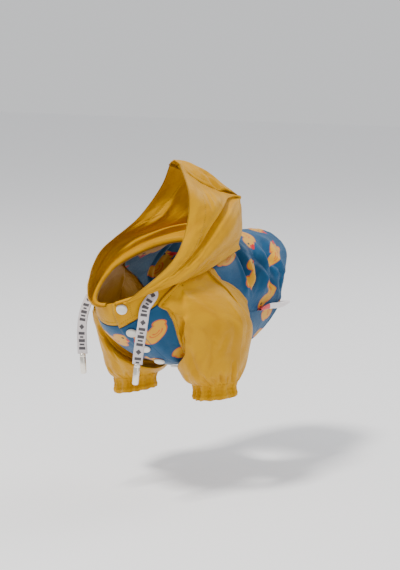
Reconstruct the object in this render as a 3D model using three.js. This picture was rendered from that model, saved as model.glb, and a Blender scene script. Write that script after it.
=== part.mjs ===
// Dog raincoat: a hooded raglan coat, held in its worn, filled-out form.
// Millimetres, +Z up. The chest faces -Y and the wearer's left side faces +X.
// The origin is the middle of the neck seam at the back, where the withers carry the coat.
import * as THREE from "three";

// Driving sizes of the cloth and its seams.
const CLOTH = 1.2;
const SEAM_GAP = 0.3;
const LAP = CLOTH + 2 * SEAM_GAP;

// The trunk of the coat: rings from the neck seam (at 0) to the hem (at 1). Each ring is an
// oval between a point on the back line and one on the chest and belly line.
const TRUNK = [
  { at: 0.0, topY: 0, topZ: 0, lowY: -140, lowZ: -50, half: 50, power: 1 },
  { at: 0.15, topY: 9, topZ: 3, lowY: -134, lowZ: -67, half: 56, power: 1.04 },
  { at: 0.3, topY: 21, topZ: 5, lowY: -115, lowZ: -89, half: 61, power: 0.98 },
  { at: 0.5, topY: 43, topZ: 6, lowY: -66, lowZ: -120, half: 66, power: 0.86 },
  { at: 0.7, topY: 70, topZ: 4, lowY: -12, lowZ: -129, half: 66, power: 0.84 },
  { at: 0.85, topY: 94, topZ: 2, lowY: 24, lowZ: -129, half: 64, power: 0.9 },
  { at: 1.0, topY: 120, topZ: 0, lowY: 60, lowZ: -127, half: 62, power: 0.95 },
];
// The chest is worn a little rolled: the left side sits higher than the right.
const CHEST_ROLL = 0.24;
const CHEST_ROLL_END = 0.55;

// Seams of the trunk, as the turn round the ring in degrees: 0 is the back, 180 the belly.
const ARMPIT = 0.655;
// round is where a point of the seam comes round the sleeve: 0 outside, 90 front, 180 inside
// and 270 back.
const FRONT_SEAM = [
  { at: 0.0, turn: 107, round: 20 },
  { at: 0.08, turn: 124, round: 33 },
  { at: 0.16, turn: 136, round: 48 },
  { at: 0.24, turn: 133, round: 63 },
  { at: 0.32, turn: 135.5, round: 79 },
  { at: 0.42, turn: 144, round: 102 },
  { at: 0.52, turn: 151, round: 132 },
  { at: 0.59, turn: 149, round: 166 },
  { at: 0.635, turn: 128, round: 226 },
  { at: ARMPIT, turn: 98, round: 268 },
];
const BACK_SEAM = [
  { at: 0.0, turn: 62, round: 346 },
  { at: 0.15, turn: 74, round: 332 },
  { at: 0.3, turn: 77, round: 320 },
  { at: 0.45, turn: 79, round: 307 },
  { at: 0.58, turn: 87, round: 291 },
  { at: ARMPIT, turn: 96, round: 270 },
];
const SIDE_SEAM_TURN = 97;
const YOKE_END = { side: 0.16, placket: 0.22 };
const HEM = [
  { turn: 0, at: 1.07 },
  { turn: 45, at: 1.08 },
  { turn: 74, at: 0.985 },
  { turn: 98, at: 1.0 },
  { turn: 135, at: 0.95 },
  { turn: 180, at: 0.88 },
];

// The front closure: the left front laps over the right one, with its snaps near the edge.
const CLOSURE = { freeEdge: 3, snapLine: 13, underEdge: 22, rampEnd: 33 };
const SNAP = { count: 6, first: 0.07, pitch: 30, radius: 5.6, height: 2.6, dish: 0.5, seat: 0.6 };

// Soft folds that run round the back from the spine towards the side seams.
const BACK_FOLDS = [
  { at: 0.57, lean: 0.09, width: 0.045, depth: 5.0, from: 34, to: 92 },
  { at: 0.665, lean: 0.0, width: 0.035, depth: -3.4, from: 44, to: 92 },
  { at: 0.75, lean: 0.03, width: 0.04, depth: 4.6, from: 40, to: 92 },
  { at: 0.84, lean: 0.05, width: 0.036, depth: -3.6, from: 36, to: 88 },
  { at: 0.93, lean: 0.07, width: 0.045, depth: 3.6, from: 30, to: 84 },
];

// Sleeves: tilted oval sections below the armhole, given for the left side. The right one
// hangs a little lower, as the chest is rolled.
const SLEEVE = [
  { x: 54, y: -31, z: -104, across: 34, along: 47, tilt: 27 },
  { x: 52, y: -27.5, z: -122, across: 32, along: 42.5, tilt: 14 },
  { x: 51, y: -26, z: -136, across: 29, along: 35, tilt: 5 },
  { x: 50.5, y: -24.5, z: -144.6, across: 23.5, along: 24, tilt: 0 },
];
const RIGHT_DROP = 5;
const RIGHT_SPLAY = 4;
const PUFF = { left: 4, right: 1.5 };
const CUFF_TILT = { left: 3, right: -4.5 };
const ENTRY = 5;
const OVERHANG = 45;
const NEAR_TRUNK = 16;
const NECK_STAND = 0.6;
const CUFF = { x: 50.5, y: -24.5, top: -145.1, bottom: -161, radius: 23.6, waist: 1.8, gathers: 12, depth: 1.3 };

// The hood turns with the wearer's head, about an upright line through the neck.
const HOOD_AXIS = { x: 0, y: -45 };
const NAPE_HANG = 0.42;

const rad = THREE.MathUtils.degToRad;
const lerp = THREE.MathUtils.lerp;
const smoothstep = THREE.MathUtils.smoothstep;

const YELLOW = { color: 0xdda31c, roughness: 0.55, metalness: 0 };
const BLUE = { color: 0x2d6496, roughness: 0.6, metalness: 0 };
const SNAP_WHITE = { color: 0xece9e2, roughness: 0.35, metalness: 0 };
const TAPE_GREY = { color: 0xd8d2d0, roughness: 0.8, metalness: 0 };
const STEEL = { color: 0xcfccc6, roughness: 0.25, metalness: 1 };
const LABEL_WHITE = { color: 0xf1ecea, roughness: 0.6, metalness: 0 };

// A smooth value from a table whose rows are ordered by the column named key.
function along(table, key, name, value) {
  const last = table.length - 1;
  let i = 0;
  while (i < last - 1 && value > table[i + 1][key]) i++;
  const [a, b] = [table[i], table[i + 1]];
  const slope = (k) => {
    const [p, n] = [table[Math.max(k - 1, 0)], table[Math.min(k + 1, last)]];
    return (n[name] - p[name]) / (n[key] - p[key]);
  };
  const h = b[key] - a[key];
  const t = (value - a[key]) / h;
  const ends = a[name] * (1 + 2 * t) * (1 - t) ** 2 + b[name] * t * t * (3 - 2 * t);
  return ends + slope(i) * h * t * (1 - t) ** 2 + slope(i + 1) * h * t * t * (t - 1);
}

function trunkBase(at, turn) {
  const col = (name) => along(TRUNK, "at", name, at);
  const angle = rad(turn);
  const power = Math.abs(turn) > 90 ? col("power") : 1;
  const across = Math.sign(Math.sin(angle)) * Math.abs(Math.sin(angle)) ** power;
  const down = Math.sign(Math.cos(angle)) * Math.abs(Math.cos(angle)) ** power;
  const [midY, midZ] = [(col("topY") + col("lowY")) / 2, (col("topZ") + col("lowZ")) / 2];
  const x = col("half") * across;
  const y = midY + (col("topY") - midY) * down;
  const roll = CHEST_ROLL * Math.max(0, -down) * (1 - smoothstep(at, 0.2, CHEST_ROLL_END));
  const z = midZ + (col("topZ") - midZ) * down + x * roll;
  return new THREE.Vector3(x, y, z);
}

function trunkNormal(at, turn) {
  const step = 0.01;
  const side = turn < 0 ? -1 : 1;
  const flat = Math.max(Math.abs(turn), 0.5) * side;
  const round = trunkBase(at, flat + 1).sub(trunkBase(at, flat - 1));
  const down = trunkBase(at + step, flat).sub(trunkBase(at - step, flat));
  return round.cross(down).normalize();
}

function foldHeight(at, turn) {
  const angle = Math.abs(turn);
  let height = 0;
  for (const fold of BACK_FOLDS) {
    const centre = fold.at + fold.lean * (angle - 65) / 60;
    const fade = smoothstep(angle, fold.from - 14, fold.from + 10) * (1 - smoothstep(angle, fold.to - 22, fold.to));
    height += fold.depth * fade * Math.exp(-(((at - centre) / fold.width) ** 2));
  }
  return height;
}

function trunkPoint(at, turn, lift = 0) {
  const height = lift + foldHeight(at, turn);
  return trunkBase(at, turn).addScaledVector(trunkNormal(at, turn), height);
}

// The turn at which a ring's belly side passes a given distance x from the middle.
function turnAtX(at, x) {
  const half = along(TRUNK, "at", "half", at);
  const power = along(TRUNK, "at", "power", at);
  const sine = Math.min(Math.abs(x) / half, 1) ** (1 / power);
  return Math.sign(x || 1) * (180 - THREE.MathUtils.radToDeg(Math.asin(sine)));
}

const frontSeam = (at) => along(FRONT_SEAM, "at", "turn", Math.min(at, ARMPIT));
const backSeam = (at) => along(BACK_SEAM, "at", "turn", Math.min(at, ARMPIT));
const hemAt = (turn) => along(HEM, "turn", "at", Math.abs(turn));

// Values from a to b in count steps, closer together towards b.
function easedSteps(a, b, count, ease = 1) {
  return Array.from({ length: count + 1 }, (_, i) => a + (b - a) * (1 - (1 - i / count) ** ease));
}

// A closed wall of cloth behind a grid of skin points. Rows run one way and columns the other;
// closed says that each row's last column joins its first.
function wallGeometry(grid, inside, { wall = CLOTH, closed = false } = {}) {
  const rows = grid.length;
  const cols = grid[0].length;
  const pick = (i, j) => grid[THREE.MathUtils.clamp(i, 0, rows - 1)][
    closed ? (j + cols) % cols : THREE.MathUtils.clamp(j, 0, cols - 1)];
  const normals = grid.map((row, i) => row.map((_, j) => {
    const u = pick(i, j + 1).clone().sub(pick(i, j - 1));
    const v = pick(i + 1, j).clone().sub(pick(i - 1, j));
    return u.cross(v).normalize();
  }));
  let facing = 0;
  grid.forEach((row, i) => row.forEach((p, j) => {
    facing += Math.sign(normals[i][j].dot(p.clone().sub(inside)));
  }));
  const side = facing < 0 ? -1 : 1;
  const positions = [];
  for (const depth of [0, wall]) {
    grid.forEach((row, i) => row.forEach((p, j) => {
      positions.push(...p.clone().addScaledVector(normals[i][j], -side * depth).toArray());
    }));
  }
  const index = [];
  const span = (a, b) => Math.hypot(...[0, 1, 2].map((k) => positions[a * 3 + k] - positions[b * 3 + k]));
  const quad = (a, b, c, d) => {
    if (span(a, c) <= span(b, d)) index.push(a, b, c, a, c, d);
    else index.push(a, b, d, b, c, d);
  };
  const outer = (i, j) => i * cols + (j % cols);
  const inner = (i, j) => rows * cols + outer(i, j);
  const spans = closed ? cols : cols - 1;
  for (let i = 0; i < rows - 1; i++) {
    for (let j = 0; j < spans; j++) {
      quad(outer(i, j), outer(i, j + 1), outer(i + 1, j + 1), outer(i + 1, j));
      quad(inner(i, j), inner(i + 1, j), inner(i + 1, j + 1), inner(i, j + 1));
    }
  }
  for (let j = 0; j < spans; j++) {
    quad(outer(0, j), inner(0, j), inner(0, j + 1), outer(0, j + 1));
    quad(outer(rows - 1, j), outer(rows - 1, j + 1), inner(rows - 1, j + 1), inner(rows - 1, j));
  }
  if (!closed) {
    for (let i = 0; i < rows - 1; i++) {
      quad(outer(i, 0), outer(i + 1, 0), inner(i + 1, 0), inner(i, 0));
      quad(outer(i, cols - 1), inner(i, cols - 1), inner(i + 1, cols - 1), outer(i + 1, cols - 1));
    }
  }
  return solidGeometry(positions, index);
}

// A geometry from points and triangles, turned so that its faces point outwards.
function solidGeometry(positions, index) {
  const at = (k) => new THREE.Vector3().fromArray(positions, index[k] * 3);
  let volume = 0;
  for (let k = 0; k < index.length; k += 3) {
    volume += at(k).dot(at(k + 1).cross(at(k + 2)));
  }
  if (volume < 0) {
    for (let k = 0; k < index.length; k += 3) {
      [index[k + 1], index[k + 2]] = [index[k + 2], index[k + 1]];
    }
  }
  const geometry = new THREE.BufferGeometry();
  geometry.setAttribute("position", new THREE.Float32BufferAttribute(positions, 3));
  geometry.setIndex(index);
  return geometry;
}

const coat = new THREE.Group();

function add(name, geometry, look) {
  const mesh = new THREE.Mesh(geometry, new THREE.MeshStandardMaterial(look));
  mesh.name = name;
  coat.add(mesh);
  return mesh;
}

// The middle of the ring at a given place, a point inside the coat.
function trunkMiddle(at) {
  return trunkBase(at, 0).add(trunkBase(at, 180)).multiplyScalar(0.5);
}

// A clearance in degrees round the trunk at a seam.
const SEAM_TURN = 0.16;
const SEAM_AT = 0.0016;
const NECK_CLEAR = 1.3;

// Back panel: from the neck to the armpit along the raglan seams, then along the side seams.
const RAGLAN_BACK_STEPS = easedSteps(0, ARMPIT, 12, 1.4);
const SIDE_STEPS = easedSteps(0, 1, 14);

function backPanel() {
  const columns = easedSteps(-1, 1, 26);
  const grid = [];
  for (const at of RAGLAN_BACK_STEPS) {
    const reach = backSeam(at) - SEAM_TURN;
    grid.push(columns.map((c) => trunkPoint(at, c * reach)));
  }
  for (const t of SIDE_STEPS.slice(1)) {
    const reach = SIDE_SEAM_TURN - SEAM_TURN;
    grid.push(columns.map((c) => trunkPoint(lerp(ARMPIT, hemAt(c * reach), t), c * reach)));
  }
  return wallGeometry(grid, trunkMiddle(0.5));
}

// How far the left front stands off the trunk where it laps over the right one.
function lapLift(x) {
  return LAP * (1 - smoothstep(x, CLOSURE.underEdge + 2.5, CLOSURE.rampEnd));
}

// A point of a front piece. across is 0 at the side and 1 at the closure's edge.
function frontPoint(side, at, across) {
  const edgeX = side > 0 ? CLOSURE.freeEdge : CLOSURE.underEdge;
  const seamTurn = (at < ARMPIT ? frontSeam(at) : SIDE_SEAM_TURN) + SEAM_TURN;
  const edgeTurn = turnAtX(at, edgeX);
  const endTurn = side > 0 ? edgeTurn : 360 - edgeTurn;
  let turn = lerp(seamTurn, endTurn, across);
  if (turn > 180) turn -= 360;
  const x = trunkBase(at, turn).x;
  if (side > 0) return trunkPoint(at, turn, lapLift(x));
  return mirrorTurn(at, turn);
}

// The right side is worked out with the same turns, taken the other way round.
function mirrorTurn(at, turn) {
  return trunkPoint(at, turn > 0 ? -turn : Math.abs(turn));
}

const yokeEnd = (across) => lerp(YOKE_END.side, YOKE_END.placket, across ** 0.8);
const YOKE_STEPS = easedSteps(0, YOKE_END.side, 3);
const RAGLAN_FRONT_STEPS = easedSteps(YOKE_END.side, ARMPIT, 14, 1.5);

function yoke(side) {
  const columns = easedSteps(0, 1, 8);
  const grid = YOKE_STEPS.map((step) => columns.map((c) => {
    const at = step / YOKE_END.side * (yokeEnd(c) - SEAM_AT);
    return frontPoint(side, at, c);
  }));
  return wallGeometry(grid, trunkMiddle(0.3));
}

function front(side) {
  const columns = easedSteps(0, 1, 9);
  const grid = [];
  for (const step of RAGLAN_FRONT_STEPS) {
    const t = (step - YOKE_END.side) / (ARMPIT - YOKE_END.side);
    grid.push(columns.map((c) => frontPoint(side, lerp(yokeEnd(c) + SEAM_AT, ARMPIT, t), c)));
  }
  const edge = CLOSURE.freeEdge;
  for (const t of SIDE_STEPS.slice(1)) {
    grid.push(columns.map((c) => {
      const turn = lerp(SIDE_SEAM_TURN, turnAtX(0.9, edge), c);
      return frontPoint(side, lerp(ARMPIT, hemAt(turn), t), c);
    }));
  }
  return wallGeometry(grid, trunkMiddle(0.6));
}

// How far a sleeve stands off the trunk: flush at the neck seam, then lapped on the panels.
function sleeveLift(at, turn) {
  const most = LAP + NECK_STAND * (1 - smoothstep(at, 0.2, 0.35));
  return most * smoothstep(at, 0, 0.035) + Math.max(foldHeight(at, turn), 0);
}

// The clearance of the back raglan seam, a little wider under the hood's fold.
function backClear(at) {
  return SEAM_TURN + NECK_CLEAR * (1 - smoothstep(at, 0.05, 0.25));
}

// The armhole loop of a sleeve, with the place of each point round the sleeve: 0 is outside,
// 90 front, 180 inside and 270 back.
function armhole(side) {
  const loop = [];
  const put = (at, turn, round) => {
    const normal = trunkNormal(at, side * turn);
    const point = trunkBase(at, side * turn).addScaledVector(normal, sleeveLift(at, turn));
    loop.push({ point, normal, round, at, turn: side * turn });
  };
  const neck = 4;
  for (let i = 0; i < neck; i++) {
    const turn = lerp(backSeam(0) + backClear(0), frontSeam(0) - SEAM_TURN, i / neck);
    put(0, turn, lerp(BACK_SEAM[0].round - 360, FRONT_SEAM[0].round, i / neck));
  }
  const front = [...YOKE_STEPS, ...RAGLAN_FRONT_STEPS.slice(1)];
  for (const at of front) put(at, frontSeam(at) - SEAM_TURN, along(FRONT_SEAM, "at", "round", at));
  const back = [...RAGLAN_BACK_STEPS].reverse().slice(1, -1);
  for (const at of back) put(at, backSeam(at) + backClear(at), along(BACK_SEAM, "at", "round", at));
  const middle = loop.reduce((sum, { point }) => sum.add(point), new THREE.Vector3()).divideScalar(loop.length);
  let agree = 0;
  loop.forEach((hole, i) => {
    const [last, next] = [loop.at(i - 1), loop[(i + 1) % loop.length]];
    hole.inward = next.point.clone().sub(last.point).cross(hole.normal).normalize();
    agree += hole.inward.dot(middle.clone().sub(hole.point));
  });
  if (agree < 0) loop.forEach(({ inward }) => inward.negate());
  return loop;
}

// The place on the trunk nearest to a point, found from a place near it.
function trunkPlace(point, { at, turn }) {
  const [stepAt, stepTurn] = [0.004, 0.4];
  for (let i = 0; i < 9; i++) {
    const here = trunkBase(at, turn);
    const da = trunkBase(at + stepAt, turn).sub(here).divideScalar(stepAt);
    const dt = trunkBase(at, turn + stepTurn).sub(here).divideScalar(stepTurn);
    const off = point.clone().sub(here);
    const [aa, att, tt] = [da.dot(da), da.dot(dt), dt.dot(dt)];
    const scale = aa * tt - att * att;
    at += THREE.MathUtils.clamp((off.dot(da) * tt - off.dot(dt) * att) / scale, -0.05, 0.05);
    turn += THREE.MathUtils.clamp((off.dot(dt) * aa - off.dot(da) * att) / scale, -6, 6);
    at = THREE.MathUtils.clamp(at, 0, 1);
  }
  return { at, turn };
}

// A sleeve's point kept clear of the trunk: on its outside, and near the neck on its own side
// of the back raglan seam, past which it may hang over by more and more degrees further down.
function keepClear(point, { at, turn }, side) {
  let normal = trunkNormal(at, turn);
  let base = trunkBase(at, turn);
  const height = point.clone().sub(base).dot(normal);
  const least = backSeam(at) + backClear(at) - OVERHANG * smoothstep(at, 0.12, 0.42);
  if (Math.abs(turn) < least && height < NEAR_TRUNK) {
    const held = side * lerp(least, Math.abs(turn), smoothstep(height, NEAR_TRUNK / 3, NEAR_TRUNK));
    normal = trunkNormal(at, held);
    base = trunkBase(at, held);
    point.copy(base).addScaledVector(normal, height);
  }
  const lap = side > 0 ? lapLift(base.x) : 0;
  const short = sleeveLift(at, turn) + lap - height;
  return short > 0 ? point.addScaledVector(normal, short) : point;
}

function sleeveSection(side, row, round, gather) {
  const angle = rad(round);
  const wave = 1 + gather * Math.cos(CUFF.gathers * angle);
  const right = side < 0;
  const low = smoothstep(-row.z, -SLEEVE[0].z, -SLEEVE.at(-1).z);
  const x = row.x + row.across * wave * Math.cos(angle) + (right ? RIGHT_SPLAY * low : 0);
  const y = row.y - row.along * wave * Math.sin(angle);
  const tilt = row.tilt + (right ? CUFF_TILT.right : CUFF_TILT.left) * low;
  return new THREE.Vector3(side * x, y, row.z - (right ? RIGHT_DROP : 0) + tilt * Math.cos(angle));
}

// Creases of the sleeves, as places round the sleeve in degrees and down it from 0 to 1.
const SLEEVE_CREASES = {
  left: [
    { from: [14, 0], to: [40, 0.15], width: 0.05, depth: 5 },
    { from: [40, 0.15], to: [96, 0.04], width: 0.05, depth: 6 },
    { from: [30, 0.62], to: [62, 0.9], width: 0.05, depth: 2.5 },
    { from: [318, 0.55], to: [338, 0.95], width: 0.05, depth: 3 },
  ],
  right: [
    { from: [38, 0.22], to: [80, 0.26], width: 0.05, depth: 5 },
    { from: [80, 0.26], to: [160, 0.2], width: 0.06, depth: 8 },
    { from: [70, 0.5], to: [110, 0.8], width: 0.05, depth: 2 },
    { from: [322, 0.5], to: [340, 0.95], width: 0.05, depth: 3 },
  ],
};
const TURN_SCALE = 150;
const SLEEVE_ROWS = [0, 0.08, 0.16, ...easedSteps(0.25, 1, 11)];

function sleeve(side) {
  const loop = armhole(side);
  const creases = SLEEVE_CREASES[side > 0 ? "left" : "right"].map((c) => ({
    ...c, from: [c.from[0] / TURN_SCALE, c.from[1]], to: [c.to[0] / TURN_SCALE, c.to[1]],
  }));
  const gathers = [0, 0, 0.02, 0.05];
  const curves = loop.map(({ point, normal, inward, round, at }) => {
    const sections = SLEEVE.map((row, i) => sleeveSection(side, row, round, gathers[i]));
    const rise = ENTRY * 0.3 * smoothstep(at, 0.06, 0.2);
    const entry = point.clone().addScaledVector(inward, ENTRY).addScaledVector(normal, rise);
    const out = side > 0 ? PUFF.left : PUFF.right;
    const puff = entry.clone().lerp(sections[0], 0.5).addScaledVector(normal, out);
    return new THREE.CatmullRomCurve3([point, entry, puff, ...sections], false, "centripetal");
  });
  const axis = new THREE.Vector3(side * SLEEVE[0].x, SLEEVE[0].y, 0);
  const places = loop.map(({ at, turn }) => ({ at, turn }));
  const grid = SLEEVE_ROWS.map((t) => curves.map((curve, j) => {
    const point = curve.getPoint(t);
    const inward = axis.clone().setZ(point.z).sub(point).normalize();
    const round = ((loop[j].round + 360) % 360) / TURN_SCALE;
    const settle = smoothstep(t, 0.03, 0.15);
    point.addScaledVector(inward, settle * creaseDepth(creases, round, t));
    places[j] = trunkPlace(point, places[j]);
    return t > 0 ? keepClear(point, places[j], side) : point;
  }));
  return wallGeometry(grid, new THREE.Vector3(side * SLEEVE[0].x, SLEEVE[0].y, -115), { closed: true });
}

function cuff(side) {
  const columns = CUFF.gathers * 4;
  const levels = [0, 0.18, 0.5, 0.82, 1];
  const grid = levels.map((level) => Array.from({ length: columns }, (_, j) => {
    const angle = 2 * Math.PI * j / columns;
    const pinch = CUFF.waist * Math.sin(Math.PI * level);
    const radius = CUFF.radius - pinch - CUFF.depth * level + CUFF.depth * Math.cos(CUFF.gathers * angle);
    const right = side < 0;
    const tilt = (right ? CUFF_TILT.right : CUFF_TILT.left) * Math.cos(angle);
    const z = lerp(CUFF.top, CUFF.bottom, level) + tilt - (right ? RIGHT_DROP : 0);
    const x = CUFF.x + (right ? RIGHT_SPLAY : 0) + radius * Math.cos(angle);
    return new THREE.Vector3(side * x, CUFF.y - radius * Math.sin(angle), z);
  }));
  return wallGeometry(grid, new THREE.Vector3(side * CUFF.x, CUFF.y, -157), { closed: true });
}

// The hood's side panels are rows from the neck seam up to the gusset. The lower rows lie on
// the trunk and hang over the neck seam: at and turn place their rim and back ends, and the
// fold bags out to its hang towards the back. The upper rows go round the hood's axis:
// angle, out and z place their rim, their middle and their back end.
const HOOD_LAP = 0.017;
const LEFT_HOOD_LOW = [
  { rimTurn: 171, backTurn: 1, rimAt: HOOD_LAP, hang: 0.0, rimLift: 1.9, backLift: 3.4 },
  { rimTurn: 168, backTurn: 22, rimAt: 0.012, hang: 0.2, rimLift: 3.1, backLift: 4.8 },
  { rimTurn: 160, backTurn: 47.4, rimAt: 0.004, hang: NAPE_HANG, rimLift: 4.2, backLift: 8.2 },
  { rimTurn: 143, backTurn: 45.8, rimAt: -0.06, hang: 0.38, rimLift: 5.6, backLift: 13.6 },
];
const LEFT_HOOD_HIGH = [
  { rim: [137, 74, -5], middle: [92, 66, 3], back: [40, 84, 11] },
  { rim: [122.6, 59, 25], middle: [84, 66, 27], back: [40, 83.5, 30] },
  { rim: [116, 52, 56], middle: [76, 60, 47], back: [40, 82, 43] },
  { rim: [93, 20, 85], middle: [60, 43, 62], back: [39, 82.5, 49] },
];
const RIGHT_HOOD_LOW = [
  { rimTurn: -176, backTurn: 0, rimAt: HOOD_LAP, hang: 0.0, rimLift: 1.9, backLift: 3.4 },
  { rimTurn: -174, backTurn: 21, rimAt: 0.012, hang: 0.2, rimLift: 3.1, backLift: 4.8 },
  { rimTurn: -166, backTurn: 46, rimAt: 0.004, hang: NAPE_HANG, rimLift: 4.1, backLift: 8.1 },
  { rimTurn: -148, backTurn: 44, rimAt: -0.06, hang: 0.38, rimLift: 5.5, backLift: 13.5 },
];
const RIGHT_HOOD_HIGH = [
  { rim: [-130, 70, -10], middle: [-44, 58, 8], back: [38, 82.5, 11] },
  { rim: [-66, 54, 25], middle: [-12, 57, 28], back: [38, 82, 30] },
  { rim: [-42, 47, 56], middle: [2, 57, 52], back: [38, 80.5, 43] },
  { rim: [-20, 20, 84], middle: [22, 44, 70], back: [37, 81, 49] },
];
// How fast the fold's hang grows from the rim to the back, on each side.
const HANG_POWER = { left: 4, right: 3 };
const HOOD_COLUMNS = 16;
const HOOD_SPANS = LEFT_HOOD_LOW.length + LEFT_HOOD_HIGH.length - 1;
const HOOD_LEVELS = [0, 1, 2, 3, ...easedSteps(3, HOOD_SPANS, 11).slice(1)].map((k) => k / HOOD_SPANS);

function hoodLowPoint(row, u) {
  const turn = lerp(row.rimTurn, row.backTurn, u);
  const power = row.rimTurn > 0 ? HANG_POWER.left : HANG_POWER.right;
  const at = lerp(row.rimAt, 0.012, Math.min(1, 2 * u)) + row.hang * u ** power;
  const point = trunkBase(at, turn);
  const clear = turn > 0 && turn > 90 ? lapLift(point.x) : 0;
  const swell = Math.max(foldHeight(at, turn), 0);
  const lift = lerp(row.rimLift, row.backLift, smoothstep(u, 0, 0.7));
  return point.addScaledVector(trunkNormal(at, turn), lift + clear + swell);
}

// The smooth value through three values at 0, a half and 1.
function throughThree([a, b, c], u) {
  return a * (1 - u) * (1 - 2 * u) + 4 * b * u * (1 - u) + c * u * (2 * u - 1);
}

function hoodHighPoint({ rim, middle, back }, u) {
  const [angle, out, z] = [0, 1, 2].map((k) => throughThree([rim[k], middle[k], back[k]], u));
  const x = HOOD_AXIS.x + out * Math.sin(rad(angle));
  return new THREE.Vector3(x, HOOD_AXIS.y + out * Math.cos(rad(angle)), z);
}

// Long soft creases of the hood's left side, each between two places on the panel.
const HOOD_CREASES = [
  { from: [0.97, 0.93], to: [0.5, 0.46], width: 0.075, depth: 9 },
  { from: [0.5, 0.46], to: [0.36, 0.36], width: 0.05, depth: 2.5 },
  { from: [0.8, 0.34], to: [0.5, 0.3], width: 0.05, depth: -3 },
];

function creaseDepth(creases, u, v) {
  let depth = 0;
  for (const { from, to, width, depth: most } of creases) {
    const [du, dv] = [to[0] - from[0], to[1] - from[1]];
    const t = THREE.MathUtils.clamp(((u - from[0]) * du + (v - from[1]) * dv) / (du * du + dv * dv), 0, 1);
    const off = Math.hypot(u - from[0] - du * t, v - from[1] - dv * t);
    const body = Math.sin(Math.PI * (0.12 + 0.76 * t));
    depth += most * body * Math.exp(-((off / width) ** 2));
  }
  return depth;
}

function hoodPoint(low, high, u, v) {
  const points = [...low.map((row) => hoodLowPoint(row, u)), ...high.map((row) => hoodHighPoint(row, u))];
  return new THREE.CatmullRomCurve3(points, false, "centripetal").getPoint(v);
}

function hoodSide(low, high, creases) {
  const grid = [];
  for (const v of HOOD_LEVELS) {
    grid.push(easedSteps(0, 1, HOOD_COLUMNS, 1.2).map((u) => {
      const point = hoodPoint(low, high, u, v);
      const toAxis = new THREE.Vector3(HOOD_AXIS.x - point.x, HOOD_AXIS.y - point.y, 0).normalize();
      return point.addScaledVector(toAxis, creaseDepth(creases, u, v));
    }));
  }
  return wallGeometry(grid, new THREE.Vector3(10, -35, 20));
}

// The gusset spans the tops of the two sides and ends in a slanting cross seam at the peak.
const GUSSET = { crossSeam: 0.7, crown: 4, swell: 8, rise: 1.7 };

function gusset() {
  const left = (u) => hoodPoint(LEFT_HOOD_LOW, LEFT_HOOD_HIGH, u, 1);
  const right = (u) => hoodPoint(RIGHT_HOOD_LOW, RIGHT_HOOD_HIGH, u, 1);
  const grid = easedSteps(0, 1, 9).map((s) => {
    const [a, b] = [left(GUSSET.crossSeam * s), right(0.96 * s)];
    return easedSteps(0, 1, 5).map((w) => {
      const point = a.clone().lerp(b, w);
      const straight = left(GUSSET.crossSeam).lerp(left(0.95), w);
      point.addScaledVector(left(lerp(GUSSET.crossSeam, 0.95, w)).sub(straight), s ** 4);
      const crown = GUSSET.crown + GUSSET.swell * Math.sin(Math.PI * s);
      point.z += crown * 4 * w * (1 - w) + GUSSET.rise;
      return point;
    });
  });
  return wallGeometry(grid, new THREE.Vector3(10, -35, 0));
}

add("back_panel", backPanel(), BLUE);
add("hood_left", hoodSide(LEFT_HOOD_LOW, LEFT_HOOD_HIGH, HOOD_CREASES), YELLOW);
add("hood_right", hoodSide(RIGHT_HOOD_LOW, RIGHT_HOOD_HIGH, []), YELLOW);
add("hood_top", gusset(), YELLOW);
for (const [word, side] of [["left", 1], ["right", -1]]) {
  add(`yoke_${word}`, yoke(side), YELLOW);
  add(`front_${word}`, front(side), BLUE);
  add(`sleeve_${word}`, sleeve(side), YELLOW);
  add(`cuff_${word}`, cuff(side), YELLOW);
}

// Snaps down the placket, each a shallow cap that stands on the lapped front.
function placketPlace(index) {
  let at = SNAP.first;
  let travelled = 0;
  const step = 0.004;
  const here = (a) => trunkBase(a, turnAtX(a, CLOSURE.snapLine));
  while (travelled < index * SNAP.pitch) {
    travelled += here(at).distanceTo(here(at + step));
    at += step;
  }
  return at;
}

function snapCap() {
  const { radius: r, height: h, dish } = SNAP;
  const outline = [[0, 0], [r, 0], [r, h * 0.35], [r * 0.9, h * 0.85], [r * 0.74, h], [r * 0.62, h - dish], [0, h - dish]];
  const cap = new THREE.LatheGeometry(outline.map(([x, y]) => new THREE.Vector2(x, y)), 14);
  return cap.rotateX(Math.PI / 2);
}

function placeAlong(mesh, point, direction) {
  mesh.position.copy(point);
  mesh.quaternion.setFromUnitVectors(new THREE.Vector3(0, 0, 1), direction);
}

for (let i = 0; i < SNAP.count; i++) {
  const at = placketPlace(i);
  const turn = turnAtX(at, CLOSURE.snapLine);
  const cap = add(`snap_${i + 1}`, snapCap(), SNAP_WHITE);
  placeAlong(cap, trunkPoint(at, turn, LAP + SNAP.seat), trunkNormal(at, turn));
}

// Drawstring tapes: flat, hanging free from under the hood's edge, each ending in a metal tip.
// The routes are points on the tape's middle line; facing is the direction of its width.
const TAPE = { width: 10.4, thick: 1.2, exitAt: 0.03 };
const TIP = { radius: 3.2, length: 21.5 };
const TAPES = {
  left: {
    exitTurn: 134,
    exitLift: 3.6,
    facing: [0.86, 0.51, 0],
    route: [[35, -126.5, -52], [34, -129, -66], [33, -131, -79], [31.5, -133.4, -96], [30.6, -134.6, -109]],
  },
  right: {
    exitTurn: -128,
    exitLift: 5.2,
    facing: [0.95, 0.31, 0],
    route: [[-44.5, -122.5, -58], [-45.6, -126.4, -70], [-46, -128, -83], [-45.6, -128.2, -97], [-45.2, -128, -108]],
  },
};

function tapeCurve({ exitTurn, exitLift, route }) {
  const exit = trunkPoint(TAPE.exitAt, exitTurn, exitLift);
  return new THREE.CatmullRomCurve3([exit, ...route.map((p) => new THREE.Vector3(...p))]);
}

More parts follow.
